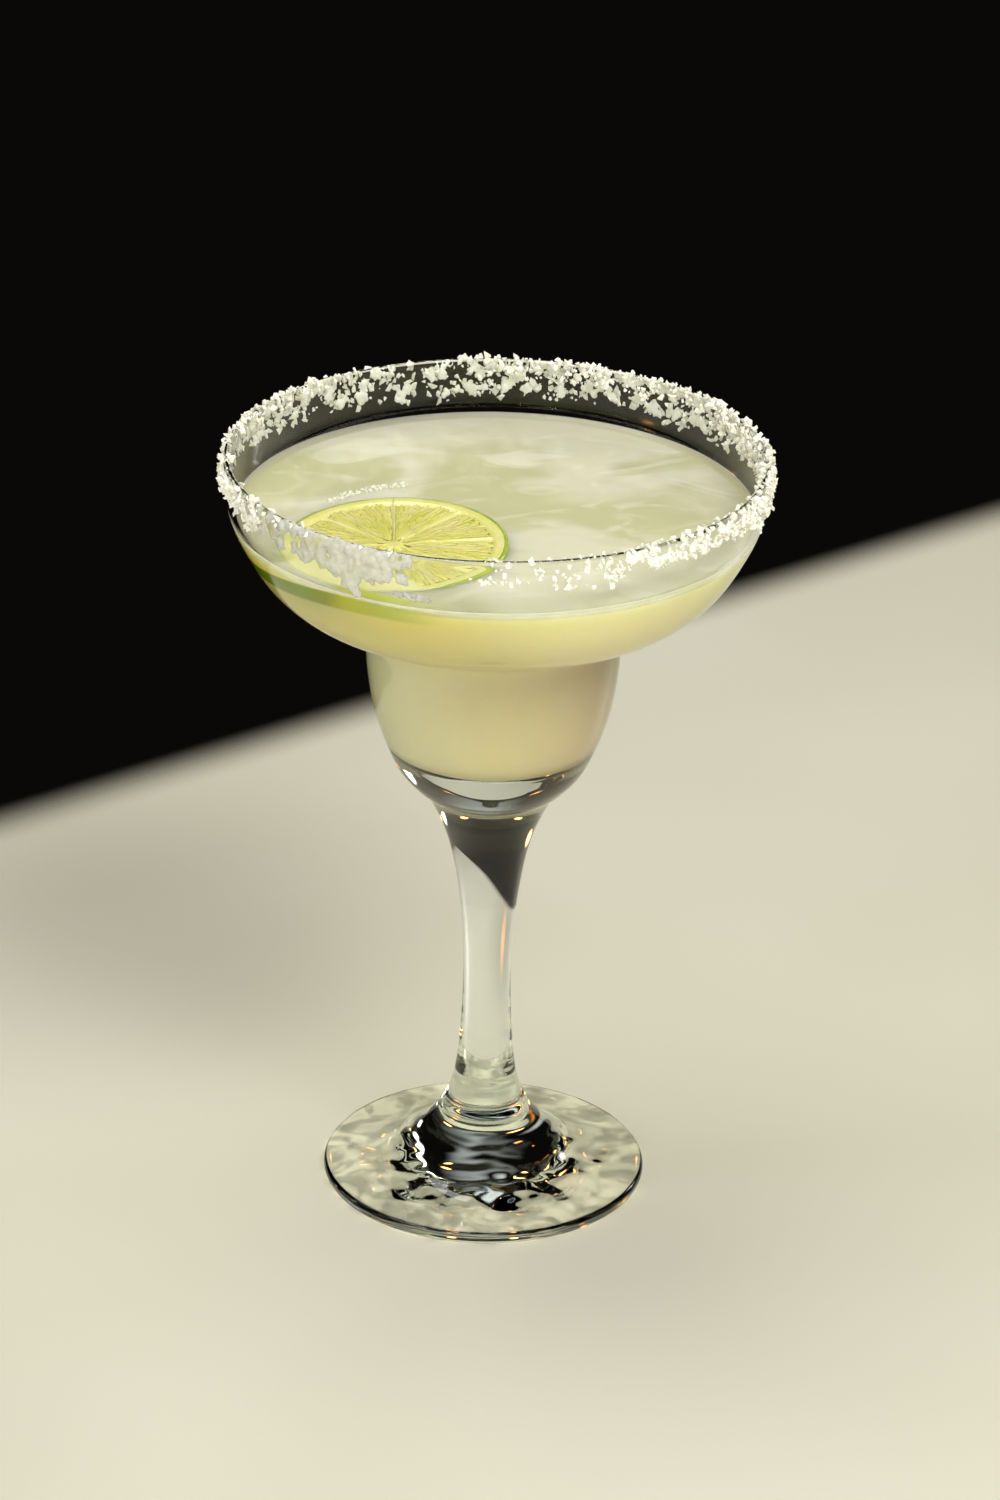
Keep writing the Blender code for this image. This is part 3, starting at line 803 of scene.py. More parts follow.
def makeLime():
    membranes = [math.radians(bearing) for bearing in lime["membranes"]]
    place = limePlace()
    rindFinish = makeWaxy("limeRind", lime["rind tints"], 0.35, 0.9 * mm, 0.12 * mm, 0.3)
    pithFinish = makeWaxy("limePith", lime["pith tints"], 0.4, 0.6 * mm, 0.05 * mm, 0.6)
    pulpFinish = makePulpMaterial("limePulp", 0.7, 1.6 * mm)
    sacFinish = makePulpMaterial("juiceSacs", 0.3, 0.1 * mm)
    pulpMesh = limePulp(membranes)
    shapes = shapeCollection("sac", [dropShape()])
    sacMesh = runTree("limeSacs", pulpMesh.copy(), sacTree(), {"Sacs": shapes, "Finish": sacFinish, **sacs})
    dropCollection(shapes)
    print("juice sacs:", len(sacMesh.polygons), "faces")
    pieces = []
    for mesh, finish in (
        (limeBody(membranes), pithFinish), (limeRind(), rindFinish), (pulpMesh, pulpFinish), (sacMesh, sacFinish),
    ):
        mesh.transform(place)
        pieces.append(newPiece(mesh.name, mesh, finish))
    newPiece("limeFilm", limeFilm(), filmMaterial())
    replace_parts(pieces[0], "lime_wheel")


makeLime()
print("lime wheel made")


# The drink: the glass's inside filled to just within the wall, risen a little where it meets wall and rind

drink = {
    "into wall": 0.3 * mm,
    "meniscus": 1.0 * mm,
    "meniscus width": 0.9 * mm,
    "first step": 0.12 * mm,  # rings of the top, wider apart away from the wall
    "broad step": 2.0 * mm,
    "turn steps": 192,
    "soft scale": 11.0 * mm,
    "wall index": 0.893,  # the drink's over the glass's: flat glances are mirrored whole
    "cup tints with painted light": (tint(221, 214, 172), tint(219, 207, 158), tint(212, 192, 151)),  # from left to right; the change across is painted light, darker and warmer towards the right
    # the bowl is painted brighter and paler towards the right, as painted light
    "bowl tints with painted light": (tint(230, 214, 126), tint(233, 222, 162), tint(244, 234, 184)),
    "top tints": (tint(192, 189, 149), tint(213, 209, 182), tint(232, 228, 208)),  # clear, cloudy and wisps
    # painted shade, darkening the top towards the back
    "painted back shade": (0.82, 0.81, 0.83, 1.0),
    # painted tone along the meniscus, standing in for how light falls where the drink climbs the wall
    "meniscus painted tone": tint(184, 176, 140),
    "rind tints": [
        (0.0, tint(112, 136, 0)), (0.25, tint(134, 156, 0)), (0.42, tint(150, 150, 0)), (0.56, tint(196, 194, 24)),
        (0.85, tint(196, 202, 76)),
    ],
}


def drinkMaterial():
    material, tree, shader, output = newMaterial("paleCitrusDrink", {
        "Roughness": 0.08, "IOR": drinkIndex, "Subsurface Radius": (1.0, 0.92, 0.5),
        "Subsurface Scale": drink["soft scale"],
    })
    spot = tree.nodes.new("ShaderNodeTexCoord").outputs["Object"]
    parts = addNode(tree, "ShaderNodeSeparateXYZ", {0: spot})
    x, y, z = parts.outputs[0], parts.outputs[1], parts.outputs[2]

    # painted light across the drink: the cup goes darker and warmer, the bowl brighter, towards the right
    side = ramp(tree, x, -26.0 * mm, 27.0 * mm)
    cup, bowl = (colourBands(tree, side, list(zip((0.0, 0.5, 1.0), drink[key]))) for key in ("cup tints with painted light", "bowl tints with painted light"))
    bowlMask = useGroup(tree, heightBand, {"Low": 131.0 * mm, "High": 142.0 * mm})
    body = mixColour(tree, bowlMask, cup, bowl)

    cloud = useGroup(tree, mottle, {"Size": 32.0 * mm, "Stretch": 1.2, "Detail": 2.0, "Swirl": 0.9,
                                    "Low": 0.38, "High": 0.6})
    wisps = useGroup(tree, mottle, {"Size": 15.0 * mm, "Stretch": 1.5, "Detail": 2.5, "Swirl": 2.0,
                                    "Low": 0.48, "High": 0.72})
    clear, cloudy, white = drink["top tints"]
    top = mixColour(tree, cloud, clear, cloudy)
    top = mixColour(tree, mathNode(tree, "MULTIPLY", wisps, 0.4), top, white)
    # painted shade: the drink's top is darkened towards the back
    backShadeReach = ramp(tree, mathNode(tree, "ADD", y, mathNode(tree, "MULTIPLY", x, 0.6)), 8.0 * mm, 60.0 * mm)
    top = mixColour(tree, backShadeReach, top, drink["painted back shade"], blend="MULTIPLY")
    topMask = useGroup(tree, heightBand, {"Low": drinkLevel - 1.1 * mm, "High": drinkLevel - 0.5 * mm})
    colour = mixColour(tree, topMask, body, top)
    # painted light: where the drink climbs the wall it takes its own tone in place of the light along the meniscus
    rise = useGroup(tree, heightBand, {"Low": drinkLevel + 0.08 * mm, "High": drinkLevel + 0.3 * mm})
    colour = mixColour(tree, mathNode(tree, "MULTIPLY", rise, 0.9), colour, drink["meniscus painted tone"])

    # the rind that shows through the wall, a band that climbs to the waterline
    along = ramp(tree, x, -53.0 * mm, -12.0 * mm)
    band = colourBands(tree, along, drink["rind tints"])
    reach = addNode(tree, "ShaderNodeMapRange", {0: x, 1: -52.0 * mm, 2: -15.0 * mm, 3: 1.0, 4: 0.0}).outputs[0]
    sink = mathNode(tree, "MULTIPLY", mathNode(tree, "POWER", reach, 3.0), 5.2 * mm)
    level = mathNode(tree, "ADD", z, sink)
    low = ramp(tree, level, drinkLevel - 3.9 * mm, drinkLevel - 2.9 * mm)
    high = ramp(tree, level, drinkLevel + 1.0 * mm, drinkLevel + 0.4 * mm)
    front = ramp(tree, y, 2.0 * mm, -8.0 * mm)
    fade = ramp(tree, x, -8.0 * mm, -24.0 * mm)
    mask = mathNode(tree, "MULTIPLY", mathNode(tree, "MULTIPLY", low, high), mathNode(tree, "MULTIPLY", front, fade))
    mask = mathNode(tree, "MULTIPLY", mask, mathNode(tree, "SUBTRACT", 1.0, rise))
    radius = addNode(tree, "ShaderNodeVectorMath", {0: spot, 1: (1.0, 1.0, 0.0)}, operation="MULTIPLY").outputs[0]
    radius = addNode(tree, "ShaderNodeVectorMath", {0: radius}, operation="LENGTH").outputs["Value"]
    atWall = ramp(tree, mathNode(tree, "SUBTRACT", radius, mathNode(tree, "MULTIPLY", z, 0.5)),
                  -30.0 * mm, -29.0 * mm)
    mask = mathNode(tree, "MULTIPLY", mask, atWall)
    tree.links.new(mixColour(tree, mask, colour, band), shader.inputs["Base Color"])
    soft = mathNode(tree, "SUBTRACT", 0.85, mathNode(tree, "MULTIPLY", mask, 0.8))
    tree.links.new(soft, shader.inputs["Subsurface Weight"])

    roughen(tree, shader, 9.0 * mm, 0.12 * mm, 1.0)

    # against the glass, flat glances are mirrored
    mirror = addNode(tree, "ShaderNodeBsdfGlossy", {"Roughness": 0.03})
    glance = addNode(tree, "ShaderNodeFresnel", {"IOR": drink["wall index"]}).outputs[0]
    wall = mathNode(tree, "SUBTRACT", 1.0, useGroup(tree, heightBand, {
        "Low": drinkLevel - 0.4 * mm, "High": drinkLevel - 0.1 * mm,
    }))
    mixed = addNode(tree, "ShaderNodeMixShader", {
        0: mathNode(tree, "MULTIPLY", glance, wall), 1: shader.outputs[0], 2: mirror.outputs[0],
    })
    tree.links.new(mixed.outputs[0], output.inputs["Surface"])
    return material


def limeCutter():  # the room that the wheel takes in the drink, open upwards
    bm = bmesh.new()
    turns = 160
    loops = []
    for height, radius in ((-lime["thickness"] + 0.3 * mm, lime["under radius"] - 0.3 * mm),
                           (0.0, lime["radius"] - 0.25 * mm), (14.0 * mm, lime["radius"] + 0.1 * mm)):
        angles = [math.tau * step / turns for step in range(turns)]
        loops.append([bm.verts.new((radius * math.cos(t), radius * math.sin(t), height)) for t in angles])
    for lower, upper in zip(loops, loops[1:]):
        for step in range(turns):
            after = (step + 1) % turns
            bm.faces.new((lower[step], lower[after], upper[after], upper[step]))
    bm.faces.new(loops[0])
    bm.faces.new(loops[-1])
    mesh = finishMesh("limeCutter", bm)
    mesh.transform(limePlace())
    return addObject("limeCutter", mesh)


def makeDrink():
    inside = innerLine()
    line = []
    for index, point in enumerate(inside):
        before, after = inside[max(index - 1, 0)], inside[min(index + 1, len(inside) - 1)]
        along = (after - before).normalized()
        moved = point - Vector((-along.y, along.x)) * drink["into wall"]
        line.append(Vector((max(moved.x, 0.0), moved.y)))
    line[0].x = 0.0
    edge = drinkLevel + drink["meniscus"]
    wallRadius = radiusAt(line, edge)
    filled = [point for point in line if point.y < edge - 0.4 * mm] + [Vector((wallRadius, edge))]
    distance = drink["first step"]
    while distance < wallRadius:
        rise = drink["meniscus"] * math.exp(-max(0.0, distance - drink["into wall"]) / drink["meniscus width"])
        filled.append(Vector((wallRadius - distance, drinkLevel + rise)))
        distance += max(0.22 * mm, distance * 0.22) if distance < 8.0 * mm else drink["broad step"]
    filled.append(Vector((0.0, drinkLevel)))
    body = addObject("drinkBody", turnMesh("drinkBody", filled, drink["turn steps"]))
    cutter = limeCutter()
    pocket = body.modifiers.new("pocket", "BOOLEAN")
    pocket.operation = "DIFFERENCE"
    pocket.solver = "EXACT"
    pocket.object = cutter
    cut = bakeMesh("drinkBody", body)
    bpy.data.objects.remove(cutter, do_unlink=True)
    cut.set_sharp_from_angle(angle=math.radians(40.0))
    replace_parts(newPiece("drinkBody", cut, drinkMaterial()), "drink")


makeDrink()
print("drink poured")


# Salt round the rim, in arcs: start and end bearing in degrees, how far it hangs below the rim in mm,
# how much it covers outside, on the lip and inside

salt = {
    "seed": 7,
    "crystals for each square metre": 0.46e6,
    "smallest": 0.9 * mm,
    "largest": 3.1 * mm,
    "lift": 0.8 * mm,
    "clump": 6.5 * mm,
    "band steps": 300,
    "outside step": 0.75 * mm,
    "inside step": 0.7 * mm,
    "shapes": 9,
    "tints": (tint(252, 249, 236), tint(236, 234, 216)),
    "voxel": 0.3 * mm,
    "lumps for each square mm": 2.2,
    "patch turn": 1.0,
    "bare arcs": ("wetClump", "frontGap", "frontMiddle"),
    "arcs": [
        ("right", -20.0, 30.0, 8.5, 1.0, 1.0, 1.0),
        ("backRight", 30.0, 98.0, 8.8, 1.0, 1.0, 0.75),
        ("backGap", 98.0, 124.0, 10.5, 0.42, 0.08, 0.05),
        ("backLeft", 124.0, 166.0, 8.0, 0.97, 0.92, 0.6),
        ("left", 166.0, 214.0, 6.5, 0.85, 0.35, 0.4),
        ("wetClump", 214.0, 253.0, 2.0, 0.25, 0.35, 0.1),
        ("frontGap", 253.0, 266.0, 2.5, 0.2, 0.16, 0.05),
        ("frontMiddle", 266.0, 294.0, 6.5, 0.62, 0.5, 0.1),
        ("frontRight", 294.0, 340.0, 5.2, 0.8, 0.7, 0.4),
    ],
}


def saltArc(bearing):
    for arc in salt["arcs"]:
        if (bearing - arc[1]) % 360.0 < arc[2] - arc[1]:
            return arc
    return salt["arcs"][0]


def arcCover(bearing, distance, place):  # distance from the lip, place outside, lip or inside
    amount = 0.0
    for shift in (-4.0, -1.5, 1.5, 4.0):  # blend over the arcs' ends
        drop, outside, lip, inside = saltArc(bearing + shift)[3:]
        if place == "lip":
            amount += lip / 4
        elif place == "outside":
            fall = (drop * mm * 1.15 - distance) / (drop * mm * 0.4)
            amount += (outside if distance > 1.2 * mm else max(outside, lip) * 0.9) * min(1.0, max(0.0, fall)) / 4
        else:
            reach = 1.0 * mm + 5.5 * mm * inside ** 2
            amount += inside * min(1.0, max(0.0, (reach - distance) / (1.6 * mm))) / 4
    return amount


def ballParts():
    bm = bmesh.new()
    bmesh.ops.create_icosphere(bm, subdivisions=2, radius=1.0)
    corners = [vert.co.copy() for vert in bm.verts]
    faces = [[vert.index for vert in face.verts] for face in bm.faces]
    bm.free()
    return corners, faces


def crustMesh(name, patches, settings, draw, easing):  # lumps in round patches on the outside, grown together
    outside = outerLine()
    ball, ballFaces = ballParts()
    corners, faces = [], []
    for bearing, drop, reach, thickness in patches:
        for lump in range(int(math.pi * reach ** 2 * settings["lumps for each square mm"])):
            way, away = draw.uniform(0.0, math.tau), reach * draw.random() ** 0.6
            depth = max(0.4, drop + away * math.sin(way))
            height = glassTop - depth * mm
            radius = radiusAt(outside, height) - max(0.0, 1.4 - depth) * 0.7 * mm
            turn = math.radians(bearing) + away * mm * math.cos(way) / radius
            half = thickness * draw.uniform(0.45, 1.05) * (1.15 - 0.5 * away / reach) * mm
            place = Matrix.Rotation(turn, 4, "Z") @ Matrix.Translation((radius + 0.2 * half, 0.0, height))
            place = place @ Matrix.Diagonal((half * 0.7, half, half * draw.uniform(0.8, 1.5), 1.0))
            start = len(corners)
            corners += [place @ corner for corner in ball]
            faces += [[start + index for index in face] for face in ballFaces]
    lumpMesh = bpy.data.meshes.new(name)
    lumpMesh.from_pydata(corners, [], faces)
    lumps = addObject(name, lumpMesh)
    joined = lumps.modifiers.new("joined", "REMESH")
    joined.mode = "VOXEL"
    joined.voxel_size = settings["voxel"]
    eased = lumps.modifiers.new("eased", "SMOOTH")
    eased.factor = 0.5
    eased.iterations = easing
    mesh = bakeMesh(name, lumps)
    mesh.shade_smooth()
    print(name, len(mesh.polygons), "faces")
    return mesh


def keepInBox(mesh):  # no grain stands out past the solids' box
    inset = 0.02 * mm
    for vert in mesh.vertices:
        vert.co = [min(max(value, low + inset), high - inset)
                   for value, low, high in zip(vert.co, cadBox[0], cadBox[1])]


def dryPatches(draw):  # bearing in degrees, drop, reach and thickness in mm
    patches = []
    for step in range(int(360.0 / salt["patch turn"])):
        bearing = salt["patch turn"] * step
        label, start, end, drop, outside = saltArc(bearing)[:5]
        thick = 0.5 + 0.5 * noise.noise(Vector((bearing / 7.0, 0.0, salt["seed"])))
        if label not in salt["bare arcs"] and draw.random() < outside * (0.45 + thick):
            patches.append((bearing, 0.6 + drop * 0.75 * draw.random() ** 1.2, draw.uniform(0.9, 1.9),
                            draw.uniform(0.5, 0.85)))
    return patches


def saltBand(crust):  # a thin sheet over the rim's outside, lip and inside, and the crust's own surface
    outside, inside = outerLine(), innerLine()
    size = glassShape
    wall = size["wall"] / 2 * mm
    lip = (size["rim"] * mm - wall, glassTop - wall)
    line = []
    for step in range(16, 0, -1):
        drop = step * salt["outside step"]
        height = glassTop - wall - drop
        line.append((Vector((radiusAt(outside, height), height)), drop + wall, "outside"))
    line += [(point, 0.0, "lip") for point in bend(lip, wall, wall, 0.0, 180.0, 6)]
    for step in range(1, 10):
        drop = step * salt["inside step"]
        height = glassTop - wall - drop
        line.append((Vector((radiusAt(inside, height), height)), drop, "inside"))
    bm = bmesh.new()
    cover = bm.verts.layers.float.new("cover")
    rows = []
    for point, distance, place in line:
        row = []
        for step in range(salt["band steps"]):
            bearing = 360.0 * step / salt["band steps"]
            turn = math.radians(bearing)
            vert = bm.verts.new((point.x * math.cos(turn), point.x * math.sin(turn), point.y))
            vert[cover] = arcCover(bearing, distance, place)
            row.append(vert)
        rows.append(row)
    for lower, upper in zip(rows, rows[1:]):
        for step in range(salt["band steps"]):
            after = (step + 1) % salt["band steps"]
            bm.faces.new((lower[step], lower[after], upper[after], upper[step]))
    sheet = len(bm.verts)
    bm.from_mesh(crust)
    bm.verts.ensure_lookup_table()
    for vert in bm.verts[sheet:]:
        outward = vert.normal.xy.dot(vert.co.xy.normalized())
        vert[cover] = 0.9 if outward > 0.2 or vert.normal.z > 0.6 else 0.0
    mesh = bpy.data.meshes.new("saltBand")
    bm.to_mesh(mesh)
    bm.free()
    return mesh


def crystalShapes(count, draw):  # broken, slightly worn grains of a unit's width
    meshes = []
    for index in range(count):
        bm = bmesh.new()
        flat = draw.uniform(0.4, 0.8)
        slim = draw.uniform(0.6, 1.0)
        for corner in range(10):
            way = Vector([draw.gauss(0.0, 1.0) for axis in range(3)]).normalized() * draw.uniform(0.36, 0.5)
            bm.verts.new((way.x, way.y * slim, way.z * flat))
        hull = bmesh.ops.convex_hull(bm, input=bm.verts)
        spare = {item for item in hull["geom_interior"] + hull["geom_unused"] if isinstance(item, bmesh.types.BMVert)}
        bmesh.ops.delete(bm, geom=list(spare), context="VERTS")
        meshes.append(finishMesh(f"crystal{index}", bm, smooth=False))
    return meshes


def grainTree():  # grains strewn where the carrier's cover lets them lie
    tree, given, out = scatterTree("strewnGrains", {
        "Grains": "NodeSocketCollection", "Per Square Metre": "NodeSocketFloat", "Smallest": "NodeSocketFloat",
        "Largest": "NodeSocketFloat", "Lift": "NodeSocketFloat", "Clump": "NodeSocketFloat",
        "Seed": "NodeSocketInt", "Finish": "NodeSocketMaterial",
    })
    cover = addNode(tree, "GeometryNodeInputNamedAttribute", {"Name": "cover"}, data_type="FLOAT").outputs[0]
    place = tree.nodes.new("GeometryNodeInputPosition").outputs[0]
    scale = mathNode(tree, "DIVIDE", 1.0, given.outputs["Clump"])
    cloud = addNode(tree, "ShaderNodeTexNoise", {"Vector": place, "Scale": scale, "Detail": 2.0}).outputs[0]
    clump = mathNode(tree, "ADD", cloud, mathNode(tree, "MULTIPLY", cover, 0.55))
    clump = mathNode(tree, "MULTIPLY", mathNode(tree, "SUBTRACT", clump, 0.66), 9.0, clamp=True)
    shown = mathNode(tree, "MULTIPLY", clump, mathNode(tree, "MULTIPLY", cover, 3.0, clamp=True))
    points = addNode(tree, "GeometryNodeDistributePointsOnFaces", {
        "Mesh": given.outputs["Geometry"], "Seed": given.outputs["Seed"],
        "Density": mathNode(tree, "MULTIPLY", shown, given.outputs["Per Square Metre"]),
    }, distribute_method="RANDOM")
    lift = randomFloat(tree, 0.0, 1.0, given.outputs["Seed"], 1)
    lift = mathNode(tree, "MULTIPLY", mathNode(tree, "MULTIPLY", lift, given.outputs["Lift"]), clump)
    offset = addNode(tree, "ShaderNodeVectorMath", {0: points.outputs["Normal"], "Scale": lift}, operation="SCALE")
    raised = addNode(tree, "GeometryNodeSetPosition", {
        "Geometry": points.outputs["Points"], "Offset": offset.outputs[0],
    })
    share = mathNode(tree, "POWER", randomFloat(tree, 0.0, 1.0, given.outputs["Seed"], 2), 1.3)
    span = mathNode(tree, "SUBTRACT", given.outputs["Largest"], given.outputs["Smallest"])
    width = mathNode(tree, "ADD", mathNode(tree, "MULTIPLY", share, span), given.outputs["Smallest"])
    spin = addNode(tree, "FunctionNodeRandomValue", {
        0: (0.0, 0.0, 0.0), 1: (math.tau, math.tau, math.tau), 8: given.outputs["Seed"],
    }, data_type="FLOAT_VECTOR").outputs[0]
    turn = addNode(tree, "FunctionNodeEulerToRotation", {0: spin}).outputs[0]
    shapes = addNode(tree, "GeometryNodeCollectionInfo", {0: given.outputs["Grains"], 1: True, 2: True})
    laid = addNode(tree, "GeometryNodeInstanceOnPoints", {
        "Points": raised.outputs[0], "Instance": shapes.outputs[0], "Pick Instance": True,
        "Rotation": turn, "Scale": width,
    })
    closeTree(tree, laid.outputs[0], given.outputs["Finish"], out)
    return tree


grains = grainTree()


def saltMaterial():
    material, tree, shader, output = newMaterial("drySalt", {
        "Roughness": 0.3, "IOR": 1.54, "Subsurface Weight": 0.6, "Subsurface Radius": (1.0, 1.0, 0.9),
        "Subsurface Scale": 0.25 * mm,
    })
    patchColours(tree, shader, 2.2 * mm, salt["tints"])
    roughen(tree, shader, 0.6 * mm, 0.12 * mm, 1.0)
    return material


def makeSalt():
    draw = random.Random(salt["seed"])
    shapes = shapeCollection("crystal", crystalShapes(salt["shapes"], draw))
    finish = saltMaterial()
    crust = crustMesh("saltCrust", dryPatches(draw), salt, draw, 1)
    mesh = runTree("saltDry", saltBand(crust), grains, {
        "Grains": shapes, "Per Square Metre": salt["crystals for each square metre"],
        "Smallest": salt["smallest"], "Largest": salt["largest"], "Lift": salt["lift"], "Clump": salt["clump"],
        "Seed": salt["seed"], "Finish": finish,
    })
    dropCollection(shapes)
    print("salt crystals:", len(mesh.polygons), "faces")
    for name, made in (("saltCrust", crust), ("saltDry", mesh)):
        keepInBox(made)
        newPiece(name, made, finish)


makeSalt()
print("rim salted")


# Salt that has melted to a wet crust on the outside, in round patches: bearing in degrees, drop below the rim
# and reach in mm, thickness in mm

wetSalt = {
    "seed": 23,
    "voxel": 0.24 * mm,
    "lumps for each square mm": 2.0,
    "easing": 9,
    "tints": (tint(244, 243, 230), tint(223, 223, 208), tint(232, 226, 140)),
    "patches": [
        (194.0, 2.6, 1.6, 0.6), (199.0, 1.9, 1.5, 0.7), (203.0, 4.4, 1.6, 0.6), (208.0, 2.2, 1.9, 0.7),
        (212.5, 1.2, 1.7, 0.8), (213.0, 4.6, 1.5, 0.6), (216.5, 1.0, 1.9, 0.9), (217.5, 3.8, 1.8, 0.8),
        (220.5, 1.0, 2.0, 0.9), (220.5, 5.2, 2.0, 0.8), (224.5, 1.0, 2.2, 1.0), (224.5, 5.0, 1.6, 0.8),
        (228.0, 1.0, 2.2, 1.0), (230.0, 3.4, 1.9, 1.0), (228.0, 5.4, 2.3, 0.9), (232.0, 1.0, 2.3, 1.1),
        (232.5, 5.2, 2.2, 1.0), (236.0, 1.2, 2.4, 1.1), (237.0, 4.0, 2.2, 1.0), (236.0, 6.2, 2.4, 1.0),
        (240.0, 1.4, 2.5, 1.1), (239.0, 8.2, 2.1, 1.0), (240.2, 10.4, 1.5, 0.9), (241.0, 5.4, 2.6, 1.1),
        (244.0, 1.8, 2.6, 1.1), (245.0, 6.2, 2.0, 1.0), (248.0, 2.0, 2.5, 1.1), (247.0, 4.6, 2.0, 1.0),
        (251.5, 1.6, 1.8, 0.9), (251.0, 5.6, 1.5, 0.9), (249.5, 9.4, 1.1, 0.5), (252.0, 9.6, 1.4, 0.5),
        (254.5, 9.4, 1.5, 0.5), (256.6, 9.8, 1.0, 0.45),
    ],
}


def wetSaltMaterial():
    material, tree, shader, output = newMaterial("wetSalt", {
        "Roughness": 0.16, "IOR": 1.4, "Transmission Weight": 0.42, "Subsurface Weight": 1.0,
        "Subsurface Radius": (1.0, 1.0, 0.85), "Subsurface Scale": 2.0 * mm, "Coat Weight": 0.7, "Coat Roughness": 0.05,
    })
    patches = useGroup(tree, mottle, {"Size": 5.0 * mm, "Detail": 2.0, "Low": 0.5, "High": 0.66})
    streaks = useGroup(tree, mottle, {"Size": 1.6 * mm, "Detail": 2.0, "Low": 0.35, "High": 0.7})
    white, grey, yellow = wetSalt["tints"]
    base = mixColour(tree, streaks, white, grey)
    colour = mixColour(tree, mathNode(tree, "MULTIPLY", patches, 0.5), base, yellow)
    tree.links.new(colour, shader.inputs["Base Color"])
    roughen(tree, shader, 0.7 * mm, 0.09 * mm)
    return material


def makeWetSalt():
    draw = random.Random(wetSalt["seed"])
    mesh = crustMesh("wetSalt", wetSalt["patches"], wetSalt, draw, wetSalt["easing"])
    keepInBox(mesh)
    newPiece("wetSalt", mesh, wetSaltMaterial())


makeWetSalt()
print("wet salt laid")


# A line of small bubbles on the drink, and the drop that hangs on the cup's left

froth = {
    "seed": 11,
    "line": [(-36.5, 3.6), (-33.0, 7.4), (-29.5, 10.2), (-25.0, 12.8), (-19.5, 14.6)],
    "width": 2.2 * mm,
    "bubbles for each square metre": 2.6e6,
    "smallest": 0.3 * mm,
    "largest": 0.95 * mm,
    "patch": 4.0 * mm,
    "tints": (tint(250, 248, 232), tint(230, 228, 200)),
}
wallDrop = {
    "place": (-28.5 * mm, 0.0, 133.2 * mm),
    "half size": (0.9 * mm, 1.0 * mm, 2.1 * mm),
    "tints": (tint(252, 254, 250), tint(240, 246, 238)),
}


def frothMaterial():
    material, tree, shader, output = newMaterial("froth", {
        "Roughness": 0.08, "IOR": drinkIndex, "Transmission Weight": 0.12,
    })
    patchColours(tree, shader, 1.5 * mm, froth["tints"])
    return material


def makeFroth():
    points = [Vector((*place, 0.0)) * mm + up * drinkLevel for place in froth["line"]]
    bm = bmesh.new()
    cover = bm.verts.layers.float.new("cover")
    rows = []
    for index, point in enumerate(points):
        along = points[min(index + 1, len(points) - 1)] - points[max(index - 1, 0)]
        across = up.cross(along).normalized() * froth["width"] / 2
        rows.append([bm.verts.new(point - across), bm.verts.new(point + across)])
    for vert in bm.verts:
        vert[cover] = 1.0
    for here, after in zip(rows, rows[1:]):
        bm.faces.new((here[0], after[0], after[1], here[1]))
    strip = bpy.data.meshes.new("frothStrip")
    bm.to_mesh(strip)
    bm.free()
    ball = bmesh.new()
    bmesh.ops.create_icosphere(ball, subdivisions=2, radius=0.5)
    shapes = shapeCollection("bubble", [finishMesh("bubble", ball)])
    finish = frothMaterial()
    mesh = runTree("froth", strip, grains, {
        "Grains": shapes, "Per Square Metre": froth["bubbles for each square metre"],
        "Smallest": froth["smallest"], "Largest": froth["largest"], "Lift": 0.0, "Clump": froth["patch"],
        "Seed": froth["seed"], "Finish": finish,
    })
    dropCollection(shapes)
    print("bubbles:", len(mesh.polygons), "faces")
    newPiece("froth", mesh, finish)


def makeWallDrop():
    bm = bmesh.new()
    bmesh.ops.create_icosphere(bm, subdivisions=4, radius=1.0)
    mesh = finishMesh("wallDrop", bm)
    mesh.transform(Matrix.Translation(wallDrop["place"]) @ Matrix.Diagonal((*wallDrop["half size"], 1.0)))
    material, tree, shader, output = newMaterial("clearDrop", {
        "Roughness": 0.0, "IOR": drinkIndex, "Transmission Weight": 1.0,
    })
    patchColours(tree, shader, 1.0 * mm, wallDrop["tints"], detail=1.0)
    newPiece("wallDrop", mesh, material)


makeFroth()
makeWallDrop()
print("bubbles and drop made")


# Floor, lights and the dark behind

